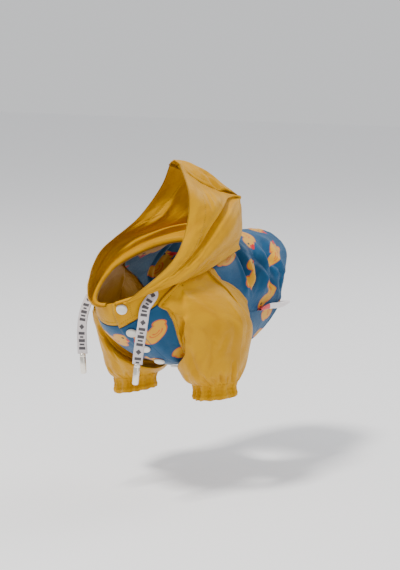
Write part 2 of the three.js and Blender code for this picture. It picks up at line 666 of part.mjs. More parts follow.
function tape(curve, facing) {
  const across = new THREE.Vector3(...facing).normalize();
  const columns = easedSteps(-0.5, 0.5, 2);
  const grid = easedSteps(0, 1, 12).map((t) => {
    const point = curve.getPoint(t);
    return columns.map((c) => point.clone().addScaledVector(across, c * TAPE.width));
  });
  return wallGeometry(grid, new THREE.Vector3(0, -40, -60), { wall: TAPE.thick });
}

function tip() {
  const { radius: r, length } = TIP;
  const outline = [[0, 0], [r * 0.86, 0], [r, 1], [r, length - 1], [r * 0.8, length], [0, length]];
  return new THREE.LatheGeometry(outline.map(([x, y]) => new THREE.Vector2(x, y)), 12).rotateX(Math.PI / 2);
}

for (const [word, plan] of Object.entries(TAPES)) {
  const curve = tapeCurve(plan);
  add(`drawstring_${word}`, tape(curve, plan.facing), TAPE_GREY);
  const down = curve.getTangent(1);
  placeAlong(add(`tip_${word}`, tip(), STEEL), curve.getPoint(1).addScaledVector(down, SEAM_GAP), down);
}

// The label is a folded ribbon caught in the left side seam, standing out from it.
const LABEL = { from: 0.75, to: 1.0, turn: SIDE_SEAM_TURN, seat: 0.35, narrow: 4.5, wide: 11, thick: 0.9, sag: 3.5 };

function sideLabel() {
  const grid = easedSteps(0, 1, 8).map((s) => {
    const at = lerp(LABEL.from, LABEL.to, s);
    const depth = lerp(LABEL.narrow, LABEL.wide, s ** 0.7);
    return easedSteps(0, 1, 3).map((w) => {
      const point = trunkPoint(at, LABEL.turn, lerp(LABEL.seat, depth, w));
      point.z += LABEL.sag * Math.sin(2 * Math.PI * s) * w * w * 0.4 + w * 2;
      return point;
    });
  });
  return wallGeometry(grid, new THREE.Vector3(60, 60, -200), { wall: LABEL.thick });
}

add("side_label", sideLabel(), LABEL_WHITE);

export default coat;
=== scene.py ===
# %% [markdown]
# A raincoat for a small dog, held in the shape it has when it is worn. The frame already
# holds every piece as a plain solid. Here each piece is made again with fine form and finish:
# smooth cloth with creases, seams and stitches, a printed body, snaps and a flat drawstring.

# %% Load the frame
import math
from functools import partial

import bpy
import numpy as np
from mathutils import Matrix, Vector


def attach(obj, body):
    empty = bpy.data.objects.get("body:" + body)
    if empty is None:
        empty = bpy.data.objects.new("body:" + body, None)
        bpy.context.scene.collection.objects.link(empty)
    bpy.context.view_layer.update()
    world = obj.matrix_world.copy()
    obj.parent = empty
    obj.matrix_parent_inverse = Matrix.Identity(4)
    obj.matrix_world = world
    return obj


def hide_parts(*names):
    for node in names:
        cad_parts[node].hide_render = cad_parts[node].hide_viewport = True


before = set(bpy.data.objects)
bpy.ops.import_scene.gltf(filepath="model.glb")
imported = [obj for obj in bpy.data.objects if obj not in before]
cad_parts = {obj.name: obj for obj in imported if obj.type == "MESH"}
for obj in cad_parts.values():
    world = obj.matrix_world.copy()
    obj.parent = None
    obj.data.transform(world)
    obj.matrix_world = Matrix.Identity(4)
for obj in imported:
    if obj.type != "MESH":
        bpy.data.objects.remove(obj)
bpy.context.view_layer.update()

MM = 0.001


def add_object(name, data):
    """A new object in the scene."""
    made = bpy.data.objects.new(name, data)
    bpy.context.collection.objects.link(made)
    return made


def activate(piece):
    """Makes a piece the only one selected, for the operators."""
    bpy.ops.object.select_all(action="DESELECT")
    piece.select_set(True)
    bpy.context.view_layer.objects.active = piece


def new_material(name):
    """A new material, its tree and its main shader."""
    look = bpy.data.materials.new(name)
    look.use_nodes = True
    return look, look.node_tree, look.node_tree.nodes["Principled BSDF"]


# %% [markdown]
# The camera comes first. It stands a little above the coat, 35 degrees round to the coat's own
# left, and the picture is 400 by 570 pixels. At the coat one pixel is 1.07 mm.

# %% Camera
PICTURE = {"width": 400, "height": 570, "mm_per_pixel": 1.07}
CAMERA = {"azimuth": 35, "elevation": 9, "distance": 1700, "right": 10, "up": -45}


def view_axes(azimuth, elevation):
    """The camera's right, up and backward directions."""
    a, e = math.radians(azimuth), math.radians(elevation)
    right = Vector((math.cos(a), math.sin(a), 0))
    back = Vector((math.sin(a) * math.cos(e), -math.cos(a) * math.cos(e), math.sin(e)))
    return right, back.cross(right), back


def add_camera():
    right, up, back = view_axes(CAMERA["azimuth"], CAMERA["elevation"])
    scale = PICTURE["mm_per_pixel"] * MM
    target = (right * CAMERA["right"] + up * CAMERA["up"]) * scale
    lens = bpy.data.cameras.new("camera")
    lens.sensor_fit = "VERTICAL"
    lens.sensor_height = 24
    lens.lens = lens.sensor_height * CAMERA["distance"] / (PICTURE["height"] * PICTURE["mm_per_pixel"])
    camera = add_object("camera", lens)
    camera.location = target + back * CAMERA["distance"] * MM
    camera.rotation_euler = back.to_track_quat("Z", "Y").to_euler()
    bpy.context.scene.camera = camera
    return camera


camera = add_camera()
print("camera at", [round(v, 3) for v in camera.location], "lens", round(camera.data.lens, 1))

# %% [markdown]
# Light is soft, as in a studio: a wide key from the front left and above, a weaker fill, a
# rim from behind, and a pale room. The floor lies well below the cuffs.

# %% Floor and lights
FLOOR_Z = -0.262


def light(name, place, size, power, tint=(1, 1, 1)):
    """A square area light that looks at the coat's middle."""
    data = bpy.data.lights.new(name, "AREA")
    data.size = size
    data.energy = power
    data.color = tint
    lamp = add_object(name, data)
    lamp.location = place
    aim = Vector(place) - Vector((0, -0.02, -0.04))
    lamp.rotation_euler = aim.to_track_quat("Z", "Y").to_euler()


def add_floor():
    bpy.ops.object.select_all(action="DESELECT")
    bpy.ops.mesh.primitive_plane_add(size=12, location=(0, 0, FLOOR_Z))
    floor = bpy.context.object
    floor.name = "floor"
    bpy.ops.object.transform_apply(location=True)
    paint, _, shader = new_material("pale floor")
    shader.inputs["Base Color"].default_value = (0.93, 0.93, 0.94, 1)
    shader.inputs["Roughness"].default_value = 0.7
    floor.data.materials.append(paint)


add_floor()
light("key", (-0.2, -1.2, 2.1), 0.4, 78, (1, 0.975, 0.93))
light("fill", (2.0, -0.8, 0.6), 1.4, 5, (0.97, 0.985, 1))
light("rim", (0.6, 1.7, 1.3), 1.0, 16)
room = bpy.data.worlds.new("room")
room.use_nodes = True
room.node_tree.nodes["Background"].inputs["Color"].default_value = (0.94, 0.95, 0.97, 1)
room.node_tree.nodes["Background"].inputs["Strength"].default_value = 0.82
bpy.context.scene.world = room
print("floor and lights are set")

# %% [markdown]
# Cloth follows forms that are worked out from a few sizes, the same ones as in the solids.
# A table has a row for each ring, section or fold, and one column for each size. A smooth
# value between rows comes from a cubic through them.

# %% Tables and small helpers


def table(columns, rows):
    """A dictionary of columns from rows of numbers."""
    return {name: np.array(values, float) for name, values in zip(columns.split(), zip(*rows))}


def along(rows, key, name, value):
    """The smooth value of a column at places given in the key column."""
    keys, column = rows[key], rows[name]
    value = np.asarray(value, float)
    last = len(keys) - 1
    i = np.clip(np.searchsorted(keys, value, side="left") - 1, 0, last - 1)
    inside = np.arange(1, last)
    slopes = np.empty(last + 1)
    slopes[inside] = (column[inside + 1] - column[inside - 1]) / (keys[inside + 1] - keys[inside - 1])
    slopes[0] = (column[1] - column[0]) / (keys[1] - keys[0])
    slopes[last] = (column[last] - column[last - 1]) / (keys[last] - keys[last - 1])
    h = keys[i + 1] - keys[i]
    t = (value - keys[i]) / h
    ends = column[i] * (1 + 2 * t) * (1 - t) ** 2 + column[i + 1] * t * t * (3 - 2 * t)
    return ends + slopes[i] * h * t * (1 - t) ** 2 + slopes[i + 1] * h * t * t * (t - 1)


def smoothstep(x, low, high):
    t = np.clip((np.asarray(x, float) - low) / (high - low), 0, 1)
    return t * t * (3 - 2 * t)


def mix(a, b, t):
    return a + (b - a) * t


def unit(v):
    return v / np.maximum(np.linalg.norm(v, axis=-1, keepdims=True), 1e-12)


def dot(a, b):
    return np.sum(a * b, axis=-1)


# %% [markdown]
# The trunk is a row of ovals from the neck seam, at 0, to the hem, at 1. A turn of 0 degrees
# is the middle of the back and 180 the middle of the belly, and the coat's left is positive.

# %% The trunk's form
TRUNK = table("at top_y top_z low_y low_z half power", [
    (0.0, 0, 0, -140, -50, 50, 1),
    (0.15, 9, 3, -134, -67, 56, 1.04),
    (0.3, 21, 5, -115, -89, 61, 0.98),
    (0.5, 43, 6, -66, -120, 66, 0.86),
    (0.7, 70, 4, -12, -129, 66, 0.84),
    (0.85, 94, 2, 24, -129, 64, 0.9),
    (1.0, 120, 0, 60, -127, 62, 0.95),
])
CHEST_ROLL = {"most": 0.24, "from": 0.2, "to": 0.55}
BACK_FOLDS = table("at lean width depth start end", [
    (0.57, 0.09, 0.045, 5.0, 34, 92),
    (0.665, 0.0, 0.035, -3.4, 44, 92),
    (0.75, 0.03, 0.04, 4.6, 40, 92),
    (0.84, 0.05, 0.036, -3.6, 36, 88),
    (0.93, 0.07, 0.045, 3.6, 30, 84),
])


def trunk_base(at, turn):
    """Points on the plain trunk, in millimetres."""
    at, turn = np.broadcast_arrays(np.asarray(at, float), np.asarray(turn, float))
    size = {name: along(TRUNK, "at", name, at) for name in TRUNK if name != "at"}
    angle = np.radians(turn)
    power = np.where(np.abs(turn) > 90, size["power"], 1)
    across = np.sign(np.sin(angle)) * np.abs(np.sin(angle)) ** power
    down = np.sign(np.cos(angle)) * np.abs(np.cos(angle)) ** power
    mid_y = (size["top_y"] + size["low_y"]) / 2
    mid_z = (size["top_z"] + size["low_z"]) / 2
    x = size["half"] * across
    fade = 1 - smoothstep(at, CHEST_ROLL["from"], CHEST_ROLL["to"])
    roll = CHEST_ROLL["most"] * np.maximum(0, -down) * fade
    y = mid_y + (size["top_y"] - mid_y) * down
    z = mid_z + (size["top_z"] - mid_z) * down + x * roll
    return np.stack([x, y, z], axis=-1)


def trunk_normal(at, turn):
    at, turn = np.broadcast_arrays(np.asarray(at, float), np.asarray(turn, float))
    side = np.where(turn < 0, -1, 1)
    flat = np.maximum(np.abs(turn), 0.5) * side
    across = trunk_base(at, flat + 1) - trunk_base(at, flat - 1)
    down = trunk_base(at + 0.01, flat) - trunk_base(at - 0.01, flat)
    return unit(np.cross(across, down))


def fold_height(at, turn):
    """The height of the soft folds that run round the back."""
    angle = np.abs(turn)
    height = np.zeros(np.broadcast(at, angle).shape)
    for i in range(len(BACK_FOLDS["at"])):
        fold = {name: column[i] for name, column in BACK_FOLDS.items()}
        centre = fold["at"] + fold["lean"] * (angle - 65) / 60
        fade = smoothstep(angle, fold["start"] - 14, fold["start"] + 10)
        fade = fade * (1 - smoothstep(angle, fold["end"] - 22, fold["end"]))
        height = height + fold["depth"] * fade * np.exp(-(((at - centre) / fold["width"]) ** 2))
    return height


def trunk_point(at, turn, lift=0):
    height = lift + fold_height(at, turn)
    return trunk_base(at, turn) + trunk_normal(at, turn) * np.asarray(height)[..., None]


def turn_at_x(at, x):
    """The turn at which a ring's belly side passes a distance x from the middle."""
    half = along(TRUNK, "at", "half", at)
    power = along(TRUNK, "at", "power", at)
    sine = np.minimum(np.abs(x) / half, 1) ** (1 / power)
    return np.sign(x) * (180 - np.degrees(np.arcsin(sine)))


print("trunk: hem ring reaches z", trunk_base(1.0, 0)[2], "to", trunk_base(1.0, 180)[2], "mm")

# %% [markdown]
# Raglan seams run from the neck to the armpit in front and behind, and a side seam runs from
# there to the hem. Each is a turn round the trunk for each place down it.

# %% Seam lines
ARMPIT = 0.655
FRONT_SEAM = table("at turn round", [
    (0.0, 107, 20),
    (0.08, 124, 33),
    (0.16, 136, 48),
    (0.24, 133, 63),
    (0.32, 135.5, 79),
    (0.42, 144, 102),
    (0.52, 151, 132),
    (0.59, 149, 166),
    (0.635, 128, 226),
    (ARMPIT, 98, 268),
])
BACK_SEAM = table("at turn round", [
    (0.0, 62, 346),
    (0.15, 74, 332),
    (0.3, 77, 320),
    (0.45, 79, 307),
    (0.58, 87, 291),
    (ARMPIT, 96, 270),
])
HEM = table("turn at", [(0, 1.07), (45, 1.08), (74, 0.985), (98, 1.0), (135, 0.95), (180, 0.88)])
SIDE_SEAM_TURN = 97
YOKE_END = {"side": 0.16, "placket": 0.22}
CLOSURE = {"free_edge": 3, "snap_line": 13, "under_edge": 22, "ramp_start": 24.5, "ramp_end": 33}
LAP = 1.8


def front_seam(at):
    return along(FRONT_SEAM, "at", "turn", np.minimum(at, ARMPIT))


def back_seam(at):
    return along(BACK_SEAM, "at", "turn", np.minimum(at, ARMPIT))


def hem_at(turn):
    return along(HEM, "turn", "at", np.abs(turn))


def lap_lift(x):
    """How far the left front stands off where it laps over the right one."""
    return LAP * (1 - smoothstep(x, CLOSURE["ramp_start"], CLOSURE["ramp_end"]))


def spread(low, high, count, ease=1.0):
    """Evenly placed values, closer together towards the high end as ease grows."""
    t = np.linspace(0, 1, count)
    return low + (high - low) * (1 - (1 - t) ** ease)


# %% [markdown]
# A crease is a soft trough with a low ridge on each side. It runs from one place on a panel
# to another, bows a little, and fades at both ends. Places are fractions of the panel, and
# its width and depth are in millimetres. A negative depth makes a ridge.

# %% Creases and ripples


def creases(u, v, size, rows):
    """The inward depth of listed creases at fractions u and v of a panel of that size."""
    wide, tall = size
    depth = np.zeros(np.broadcast(u, v).shape)
    for u0, v0, u1, v1, width, most, bow in rows:
        du, dv = (u1 - u0) * wide, (v1 - v0) * tall
        length = math.hypot(du, dv)
        x, y = (u - u0) * wide, (v - v0) * tall
        t = (x * du + y * dv) / length ** 2
        off = (x * dv - y * du) / length - bow * 4 * t * (1 - t)
        past = np.maximum(0, np.maximum(-t, t - 1)) * length
        fade = np.sin(math.pi * np.clip(0.06 + 0.88 * t, 0, 1)) ** 0.7 * np.exp(-((past / width) ** 2))
        trough = np.exp(-((np.abs(off) / width) ** 1.5))
        banks = np.exp(-(((np.abs(off) - 2.2 * width) / width) ** 2))
        depth = depth + most * fade * (trough - 0.3 * banks)
    return depth


def ripple(x, y, scale, seed):
    """A soft, uneven wave over a place given in millimetres, from -1 to 1."""
    x, y = x / scale, y / scale
    total = 0
    for k in range(4):
        angle = seed * 1.7 + k * 2.4
        pitch = 1 + 0.37 * k
        phase = 3 * np.sin(0.31 * (y * math.cos(angle) - x * math.sin(angle)) + seed + k)
        total = total + np.sin(pitch * (x * math.cos(angle) + y * math.sin(angle)) * 2 + phase) / (1 + k)
    return total / 2.08


# %% [markdown]
# Each panel is a grid of points turned into a thin shell. Its texture place is in metres of
# cloth, so the print and the weave keep their size. Two more attributes hold how far each
# point is from the edges, and how far along them, and the stitches are drawn from those.

# %% From a grid of points to a cloth shell
SHELL = 1.0
FAR = 99.0
BACK_SIZE, SLEEVE_SIZE, HOOD_SIZE, GUSSET_SIZE = (260, 150), (300, 150), (150, 150), (60, 80)
PUCKER = {"sink": -1.0, "sink_width": 1.2, "fell": 0.35, "fell_at": 3.6, "wave": 0.42, "reach": 5.5}


def arc_lengths(points, axis):
    steps = np.linalg.norm(np.diff(points, axis=axis), axis=-1)
    start = np.zeros_like(np.take(steps, [0], axis=axis))
    return np.concatenate([start, np.cumsum(steps, axis=axis)], axis=axis)


def grid_normals(points, closed):
    if closed:
        across = np.roll(points, -1, axis=1) - np.roll(points, 1, axis=1)
    else:
        across = np.gradient(points, axis=1)
    down = np.gradient(points, axis=0)
    return unit(np.cross(across, down))


def edge_distances(points, seams, closed):
    """For each point: from the left, from the right and along; then from the top, foot and along."""
    run_u, run_v = arc_lengths(points, 1), arc_lengths(points, 0)
    sides = np.stack([run_u, run_u[:, -1:] - run_u, run_v], axis=-1)
    ends = np.stack([run_v, run_v[-1:] - run_v, run_u], axis=-1)
    for k, name in enumerate(("left", "right")):
        if closed or name not in seams:
            sides[..., k] = FAR
    for k, name in enumerate(("top", "foot")):
        if name not in seams:
            ends[..., k] = FAR
    return sides, ends


def puckers(points, sides, ends, seed):
    """Seams sink a little, and the cloth beside them puckers."""
    near = np.minimum(np.minimum(sides[..., 0], sides[..., 1]), np.minimum(ends[..., 0], ends[..., 1]))
    run = np.where(np.minimum(sides[..., 0], sides[..., 1]) < 12, sides[..., 2], ends[..., 2])
    wave = ripple(run, near * 0.4, 4.2, seed)
    sink = PUCKER["sink"] * np.exp(-((near / PUCKER["sink_width"]) ** 2))
    fell = PUCKER["fell"] * np.exp(-(((near - PUCKER["fell_at"]) / 1.8) ** 2))
    pucker = PUCKER["wave"] * wave * np.exp(-(((near - 4) / PUCKER["reach"]) ** 2))
    return sink + fell + pucker


def cloth(
        name, points, look, seams=(), closed=False, outward=None, seed=1.0, wall=SHELL, casing=False,
        straight=False):
    """A shell of cloth from a grid of outer points in millimetres."""
    normals = grid_normals(points, closed)
    if dot(normals, points - np.asarray(outward, float)).mean() < 0:
        normals = -normals
    sides, ends = edge_distances(points, seams, closed)
    if seams:
        points = points + normals * puckers(points, sides, ends, seed)[..., None]
    if casing:
        sides[..., 0] = arc_lengths(points, 1)
    rows, cols = points.shape[:2]
    index = np.arange(rows * cols).reshape(rows, cols)
    right = np.roll(index, -1, axis=1) if closed else index[:, 1:]
    left = index if closed else index[:, :-1]
    faces = np.stack([left[:-1], right[:-1], right[1:], left[1:]], axis=-1).reshape(-1, 4)
    flat = points.reshape(-1, 3)
    sample = faces[::7]
    facing = np.cross(flat[sample[:, 2]] - flat[sample[:, 0]], flat[sample[:, 3]] - flat[sample[:, 1]])
    if dot(facing, normals.reshape(-1, 3)[sample[:, 0]]).mean() < 0:
        faces = faces[:, ::-1]
    mesh = bpy.data.meshes.new(name)
    mesh.from_pydata((flat * MM).tolist(), [], faces.tolist())
    run_u, run_v = arc_lengths(points, 1), arc_lengths(points, 0)
    middle = run_u[:, cols // 2][:, None]
    if straight:
        run_v = run_v[:, cols // 2][:, None] + 0 * run_v
    place = np.stack([run_u - middle, -run_v], axis=-1).reshape(-1, 2) * MM
    corner = np.empty(len(mesh.loops), dtype=np.int32)
    mesh.loops.foreach_get("vertex_index", corner)
    uv = mesh.uv_layers.new(name="cloth")
    uv.data.foreach_set("uv", place[corner].astype(np.float32).ravel())
    for label, values in (("sides", sides), ("ends", ends)):
        attribute = mesh.attributes.new(label, "FLOAT_VECTOR", "POINT")
        attribute.data.foreach_set("vector", values.astype(np.float32).ravel())
    mesh.materials.append(look)
    piece = add_object(name, mesh)
    apply_modifier(piece, "SOLIDIFY", thickness=wall * MM, offset=-1, use_rim=True)
    mesh.polygons.foreach_set("use_smooth", [True] * len(mesh.polygons))
    return piece


def apply_modifier(piece, kind, **settings):
    activate(piece)
    modifier = piece.modifiers.new(kind.lower(), kind)
    for key, value in settings.items():
        setattr(modifier, key, value)
    bpy.ops.object.modifier_apply(modifier=modifier.name)


def cut_area(piece):
    """Half the shell's surface, which is the cloth's own area, in square metres."""
    return sum(face.area for face in piece.data.polygons) / 2


# %% [markdown]
# Materials are built from small shader groups. The first draws the weave and the fine crinkle of a
# coated cloth as a height, and also gives the broad crinkle alone, from which shade is painted
# into the colour. The second draws two rows of stitches beside a seam, with the masks that paint
# shade along the seam and the stitch lines.

# %% Shader helpers


def node(tree, kind, values=None, **settings):
    """Adds a node. values maps input names or numbers to a number, a colour or a socket."""
    made = tree.nodes.new(kind)
    for key, value in settings.items():
        setattr(made, key, value)
    for key, value in (values or {}).items():
        if isinstance(value, bpy.types.NodeSocket):
            tree.links.new(value, made.inputs[key])
        else:
            made.inputs[key].default_value = value
    return made


STITCH = {"repeat": 2.7, "half": 0.36}


def calc(tree, operation, *values):
    """A Math node's result."""
    return node(tree, "ShaderNodeMath", dict(enumerate(values)), operation=operation).outputs[0]


def blend_colour(tree, factor, a, b):
    made = node(tree, "ShaderNodeMix", {0: factor, 6: a, 7: b}, data_type="RGBA")
    return made.outputs[2]


def group(name, inputs, outputs):
    """An empty shader group with named sockets, and its two end nodes."""
    tree = bpy.data.node_groups.new(name, "ShaderNodeTree")
    for label, kind in inputs.items():
        tree.interface.new_socket(label, in_out="INPUT", socket_type="NodeSocket" + kind)
    for label, kind in outputs.items():
        tree.interface.new_socket(label, in_out="OUTPUT", socket_type="NodeSocket" + kind)
    return tree, tree.nodes.new("NodeGroupInput").outputs, tree.nodes.new("NodeGroupOutput").inputs


def use(tree, shared, values):
    return node(tree, "ShaderNodeGroup", values, node_tree=shared).outputs


def soft_step(tree, value, low, high):
    made = node(tree, "ShaderNodeMapRange", {0: value, 1: low, 2: high}, interpolation_type="SMOOTHSTEP")
    return made.outputs[0]


# %% The weave and crinkle of coated cloth


def weave_group():
    given_sockets = {"Place": "Vector", "Thread": "Float", "Crinkle": "Float"}
    tree, given, result = group("coated weave", given_sockets, {"Height": "Float", "Broad crinkle": "Float"})
    do = partial(calc, tree)
    parts = node(tree, "ShaderNodeSeparateXYZ", {0: given["Place"]}).outputs
    across = do("SINE", do("DIVIDE", parts[0], given["Thread"]))
    down = do("SINE", do("DIVIDE", parts[1], given["Thread"]))
    threads = do("MULTIPLY", across, down)
    shared = {"Vector": given["Place"], "Detail": 3.0}
    fine = node(tree, "ShaderNodeTexNoise", {**shared, "Scale": 210.0}).outputs[0]
    broad = node(tree, "ShaderNodeTexNoise", {**shared, "Scale": 48.0, "Distortion": 0.6}).outputs[0]
    both = do("ADD", broad, do("MULTIPLY", fine, 0.3))
    crumple = do("MULTIPLY", both, given["Crinkle"])
    height = do("ADD", crumple, do("MULTIPLY", threads, 0.03))
    tree.links.new(height, result["Height"])
    tree.links.new(broad, result["Broad crinkle"])
    return tree


# %% Rows of stitches beside a seam


def stitch_group():
    """Stitches as a mask, the line that the thread pulls down, and a mask of painted seam shade, from a
    distance and a run in mm.
    """
    given_sockets = {"Edges": "Vector", "First": "Float", "Second": "Float"}
    result_sockets = {"Thread": "Float", "Pull": "Float", "Seam": "Float"}
    tree, given, result = group("stitch rows", given_sockets, result_sockets)
    do = partial(calc, tree)
    parts = node(tree, "ShaderNodeSeparateXYZ", {0: given["Edges"]}).outputs
    near = do("MINIMUM", parts[0], parts[1])
    cycle = do("FRACT", do("DIVIDE", parts[2], STITCH["repeat"]))
    dash = do("LESS_THAN", do("ABSOLUTE", do("SUBTRACT", cycle, 0.5)), STITCH["half"])
    lines = []
    for name in ("First", "Second"):
        off = do("ABSOLUTE", do("SUBTRACT", near, given[name]))
        lines.append(do("SUBTRACT", 1.0, soft_step(tree, off, 0.2, 0.75)))
    both = do("MAXIMUM", *lines)
    tree.links.new(do("MULTIPLY", both, dash), result["Thread"])
    tree.links.new(both, result["Pull"])
    tree.links.new(do("SUBTRACT", 1.0, soft_step(tree, near, 0.2, 1.5)), result["Seam"])
    return tree


WEAVE = weave_group()
STITCHES = stitch_group()
print("shared groups:", WEAVE.name, "and", STITCHES.name)

# %% [markdown]
# The body cloth is printed with ducks, a common motif. The duck here is a plain one of round
# shapes: body, tail, head, bill, eye and wing, with a warm outline. Each cell of the repeat
# holds one duck, every other one is turned the other way, and every other row is shifted.

# %% The duck print
DUCK = {
    "cell": (56.0, 49.0),
    "size": 1.2,
    "tilt": 0.3,
    "outline": 0.85,
    "fill": (0.62, 0.31, 0.012, 1),
    "edge": (0.58, 0.12, 0.005, 1),
    "bill": (0.50, 0.004, 0.006, 1),
    "eye": (0.012, 0.01, 0.01, 1),
}
DUCK_SHAPES = table("x y wide high turn", [
    (-2.6, -4.6, 12.0, 7.6, 0.0),
    (-12.6, 0.4, 5.4, 3.0, 0.75),
    (6.2, 5.0, 6.9, 6.5, 0.0),
    (13.6, 5.0, 3.6, 1.5, -0.25),
    (13.2, 3.2, 2.8, 1.2, 0.2),
    (8.2, 6.8, 1.35, 1.5, 0.0),
    (-4.4, -3.6, 6.4, 3.9, 0.25),
    (-4.8, -3.2, 3.4, 2.0, 0.25),
])


def oval_distance(tree, x, y, shape):
    """About the distance outside an oval, in millimetres, and below zero inside it."""
    do = partial(calc, tree)
    dx, dy = do("SUBTRACT", x, shape["x"]), do("SUBTRACT", y, shape["y"])
    c, s = math.cos(shape["turn"]), math.sin(shape["turn"])
    wide, high = shape["wide"], shape["high"]
    along_x = do("ADD", do("MULTIPLY", dx, c / wide), do("MULTIPLY", dy, s / wide))
    along_y = do("SUBTRACT", do("MULTIPLY", dy, c / high), do("MULTIPLY", dx, s / high))
    square = do("ADD", do("MULTIPLY", along_x, along_x), do("MULTIPLY", along_y, along_y))
    reach = do("SUBTRACT", do("SQRT", square), 1.0)
    return do("MULTIPLY", reach, min(shape["wide"], shape["high"]))


def duck_group():
    tree, given, result = group("duck print", {"Place": "Vector", "Ground": "Color"}, {"Color": "Color"})
    do = partial(calc, tree)
    parts = node(tree, "ShaderNodeSeparateXYZ", {0: given["Place"]}).outputs
    wide, high = DUCK["cell"]
    x, y = (do("MULTIPLY", part, 1 / MM) for part in parts[:2])
    row_place = do("DIVIDE", y, high)
    row = do("FLOOR", row_place)
    shift = do("MULTIPLY", do("FLOORED_MODULO", row, 2.0), 0.5)
    col_place = do("ADD", do("DIVIDE", x, wide), shift)
    odd = do("FLOORED_MODULO", do("FLOOR", col_place), 2.0)
    flip = do("SUBTRACT", 1.0, do("MULTIPLY", odd, 2.0))
    from_middle = do("SUBTRACT", do("FRACT", col_place), 0.5)
    x = do("MULTIPLY", do("MULTIPLY", from_middle, wide), flip)
    y = do("MULTIPLY", do("SUBTRACT", do("FRACT", row_place), 0.5), high)
    c, s = math.cos(DUCK["tilt"]), math.sin(DUCK["tilt"])
    c, s = c / DUCK["size"], s / DUCK["size"]
    turned_x = do("SUBTRACT", do("MULTIPLY", x, c), do("MULTIPLY", y, s))
    turned_y = do("ADD", do("MULTIPLY", x, s), do("MULTIPLY", y, c))
    rows = [dict(zip(DUCK_SHAPES, values)) for values in zip(*DUCK_SHAPES.values())]
    ovals = [oval_distance(tree, turned_x, turned_y, shape) for shape in rows]
    body, tail, head, upper, lower, eye, wing, feather = ovals
    form = do("MINIMUM", do("MINIMUM", body, tail), head)
    bill = do("MINIMUM", upper, lower)

    def inside(distance, edge=0.0):
        return do("SUBTRACT", 1.0, soft_step(tree, distance, edge - 0.12, edge + 0.12))

    arc = do("MINIMUM", do("ABSOLUTE", wing), do("ABSOLUTE", feather))
    low = do("LESS_THAN", turned_y, do("MULTIPLY_ADD", turned_x, 0.35, -1.6))
    ring = do("MULTIPLY", inside(arc, 0.5), low)
    colour = blend_colour(tree, inside(form, DUCK["outline"]), given["Ground"], DUCK["edge"])
    colour = blend_colour(tree, inside(form), colour, DUCK["fill"])
    colour = blend_colour(tree, ring, colour, DUCK["edge"])
    colour = blend_colour(tree, inside(bill), colour, DUCK["bill"])
    colour = blend_colour(tree, inside(eye), colour, DUCK["eye"])
    tree.links.new(colour, result["Color"])
    return tree


DUCKS = duck_group()
print("duck print:", len(DUCKS.nodes), "nodes, a duck for each", DUCK["cell"], "mm")

# %% [markdown]
# Both cloths are the same thin coated weave. One is dyed yellow, with a soft sheen, and the
# other is blue with the print on it. On both, shade is painted into the colour: a deeper colour
# in the hollows of the broad crinkle, and a dark line along the seams and the stitch pulls. The
# rows of stitches lie at their own distances from the edges: a casing in the hood, a placket in
# front, a hem below.

# %% Cloth materials


def cloth_material(name, colour, painted_shade_colour, rough, side_rows=(1.7, 6.2), end_rows=(1.7, 6.2), ducks=False):
    look, tree, shader = new_material(name)
    do = partial(calc, tree)
    place = node(tree, "ShaderNodeUVMap", uv_map="cloth").outputs[0]
    weave = use(tree, WEAVE, {"Place": place, "Thread": 0.00011, "Crinkle": 1.0})
    masks = []
    for label, rows in (("sides", side_rows), ("ends", end_rows)):
        edges = node(tree, "ShaderNodeAttribute", attribute_name=label).outputs["Vector"]
        masks.append(use(tree, STITCHES, {"Edges": edges, "First": rows[0], "Second": rows[1]}))
    dashes = do("MAXIMUM", masks[0]["Thread"], masks[1]["Thread"])
    pulls = do("MAXIMUM", masks[0]["Pull"], masks[1]["Pull"])
    seam = do("MAXIMUM", masks[0]["Seam"], masks[1]["Seam"])
    # Painted shade: the colour is deeper where the broad crinkle is low, in its hollows, and those parts
    # are a little rougher.
    crinkle_shade_and_gloss = soft_step(tree, weave["Broad crinkle"], 0.3, 0.7)
    base = blend_colour(tree, crinkle_shade_and_gloss, painted_shade_colour, colour)
    if ducks:
        base = use(tree, DUCKS, {"Place": place, "Ground": base})["Color"]
    # Painted shade: a dark colour laid along the seams and along the lines the stitches pull down.
    seam_shade_colour = tuple(0.35 * c for c in painted_shade_colour[:3]) + (1,)
    thread = tuple(min(1.3 * c, 0.95) for c in colour[:3]) + (1,)
    shade = do("MAXIMUM", do("MULTIPLY", pulls, 0.6), do("MULTIPLY", seam, 0.7))
    base = blend_colour(tree, shade, base, seam_shade_colour)
    base = blend_colour(tree, do("MULTIPLY", dashes, 0.6), base, thread)
    tree.links.new(base, shader.inputs["Base Color"])
    tree.links.new(do("MULTIPLY_ADD", crinkle_shade_and_gloss, -0.08, rough), shader.inputs["Roughness"])
    raised = do("ADD", weave["Height"], do("MULTIPLY", dashes, 0.5))
    height = do("SUBTRACT", raised, do("MULTIPLY", pulls, 0.7))
    bump = node(tree, "ShaderNodeBump", {"Height": height, "Strength": 0.6, "Distance": 0.0013})
    tree.links.new(bump.outputs[0], shader.inputs["Normal"])
    tint = tuple(min(1, 0.25 + 1.1 * c / max(colour[:3])) for c in colour[:3]) + (1,)
    shader.inputs["Specular IOR Level"].default_value = 0.22
    shader.inputs["Specular Tint"].default_value = tint
    shader.inputs["Sheen Weight"].default_value = 0.05
    shader.inputs["Sheen Roughness"].default_value = 0.5
    shader.inputs["Sheen Tint"].default_value = tint
    return look


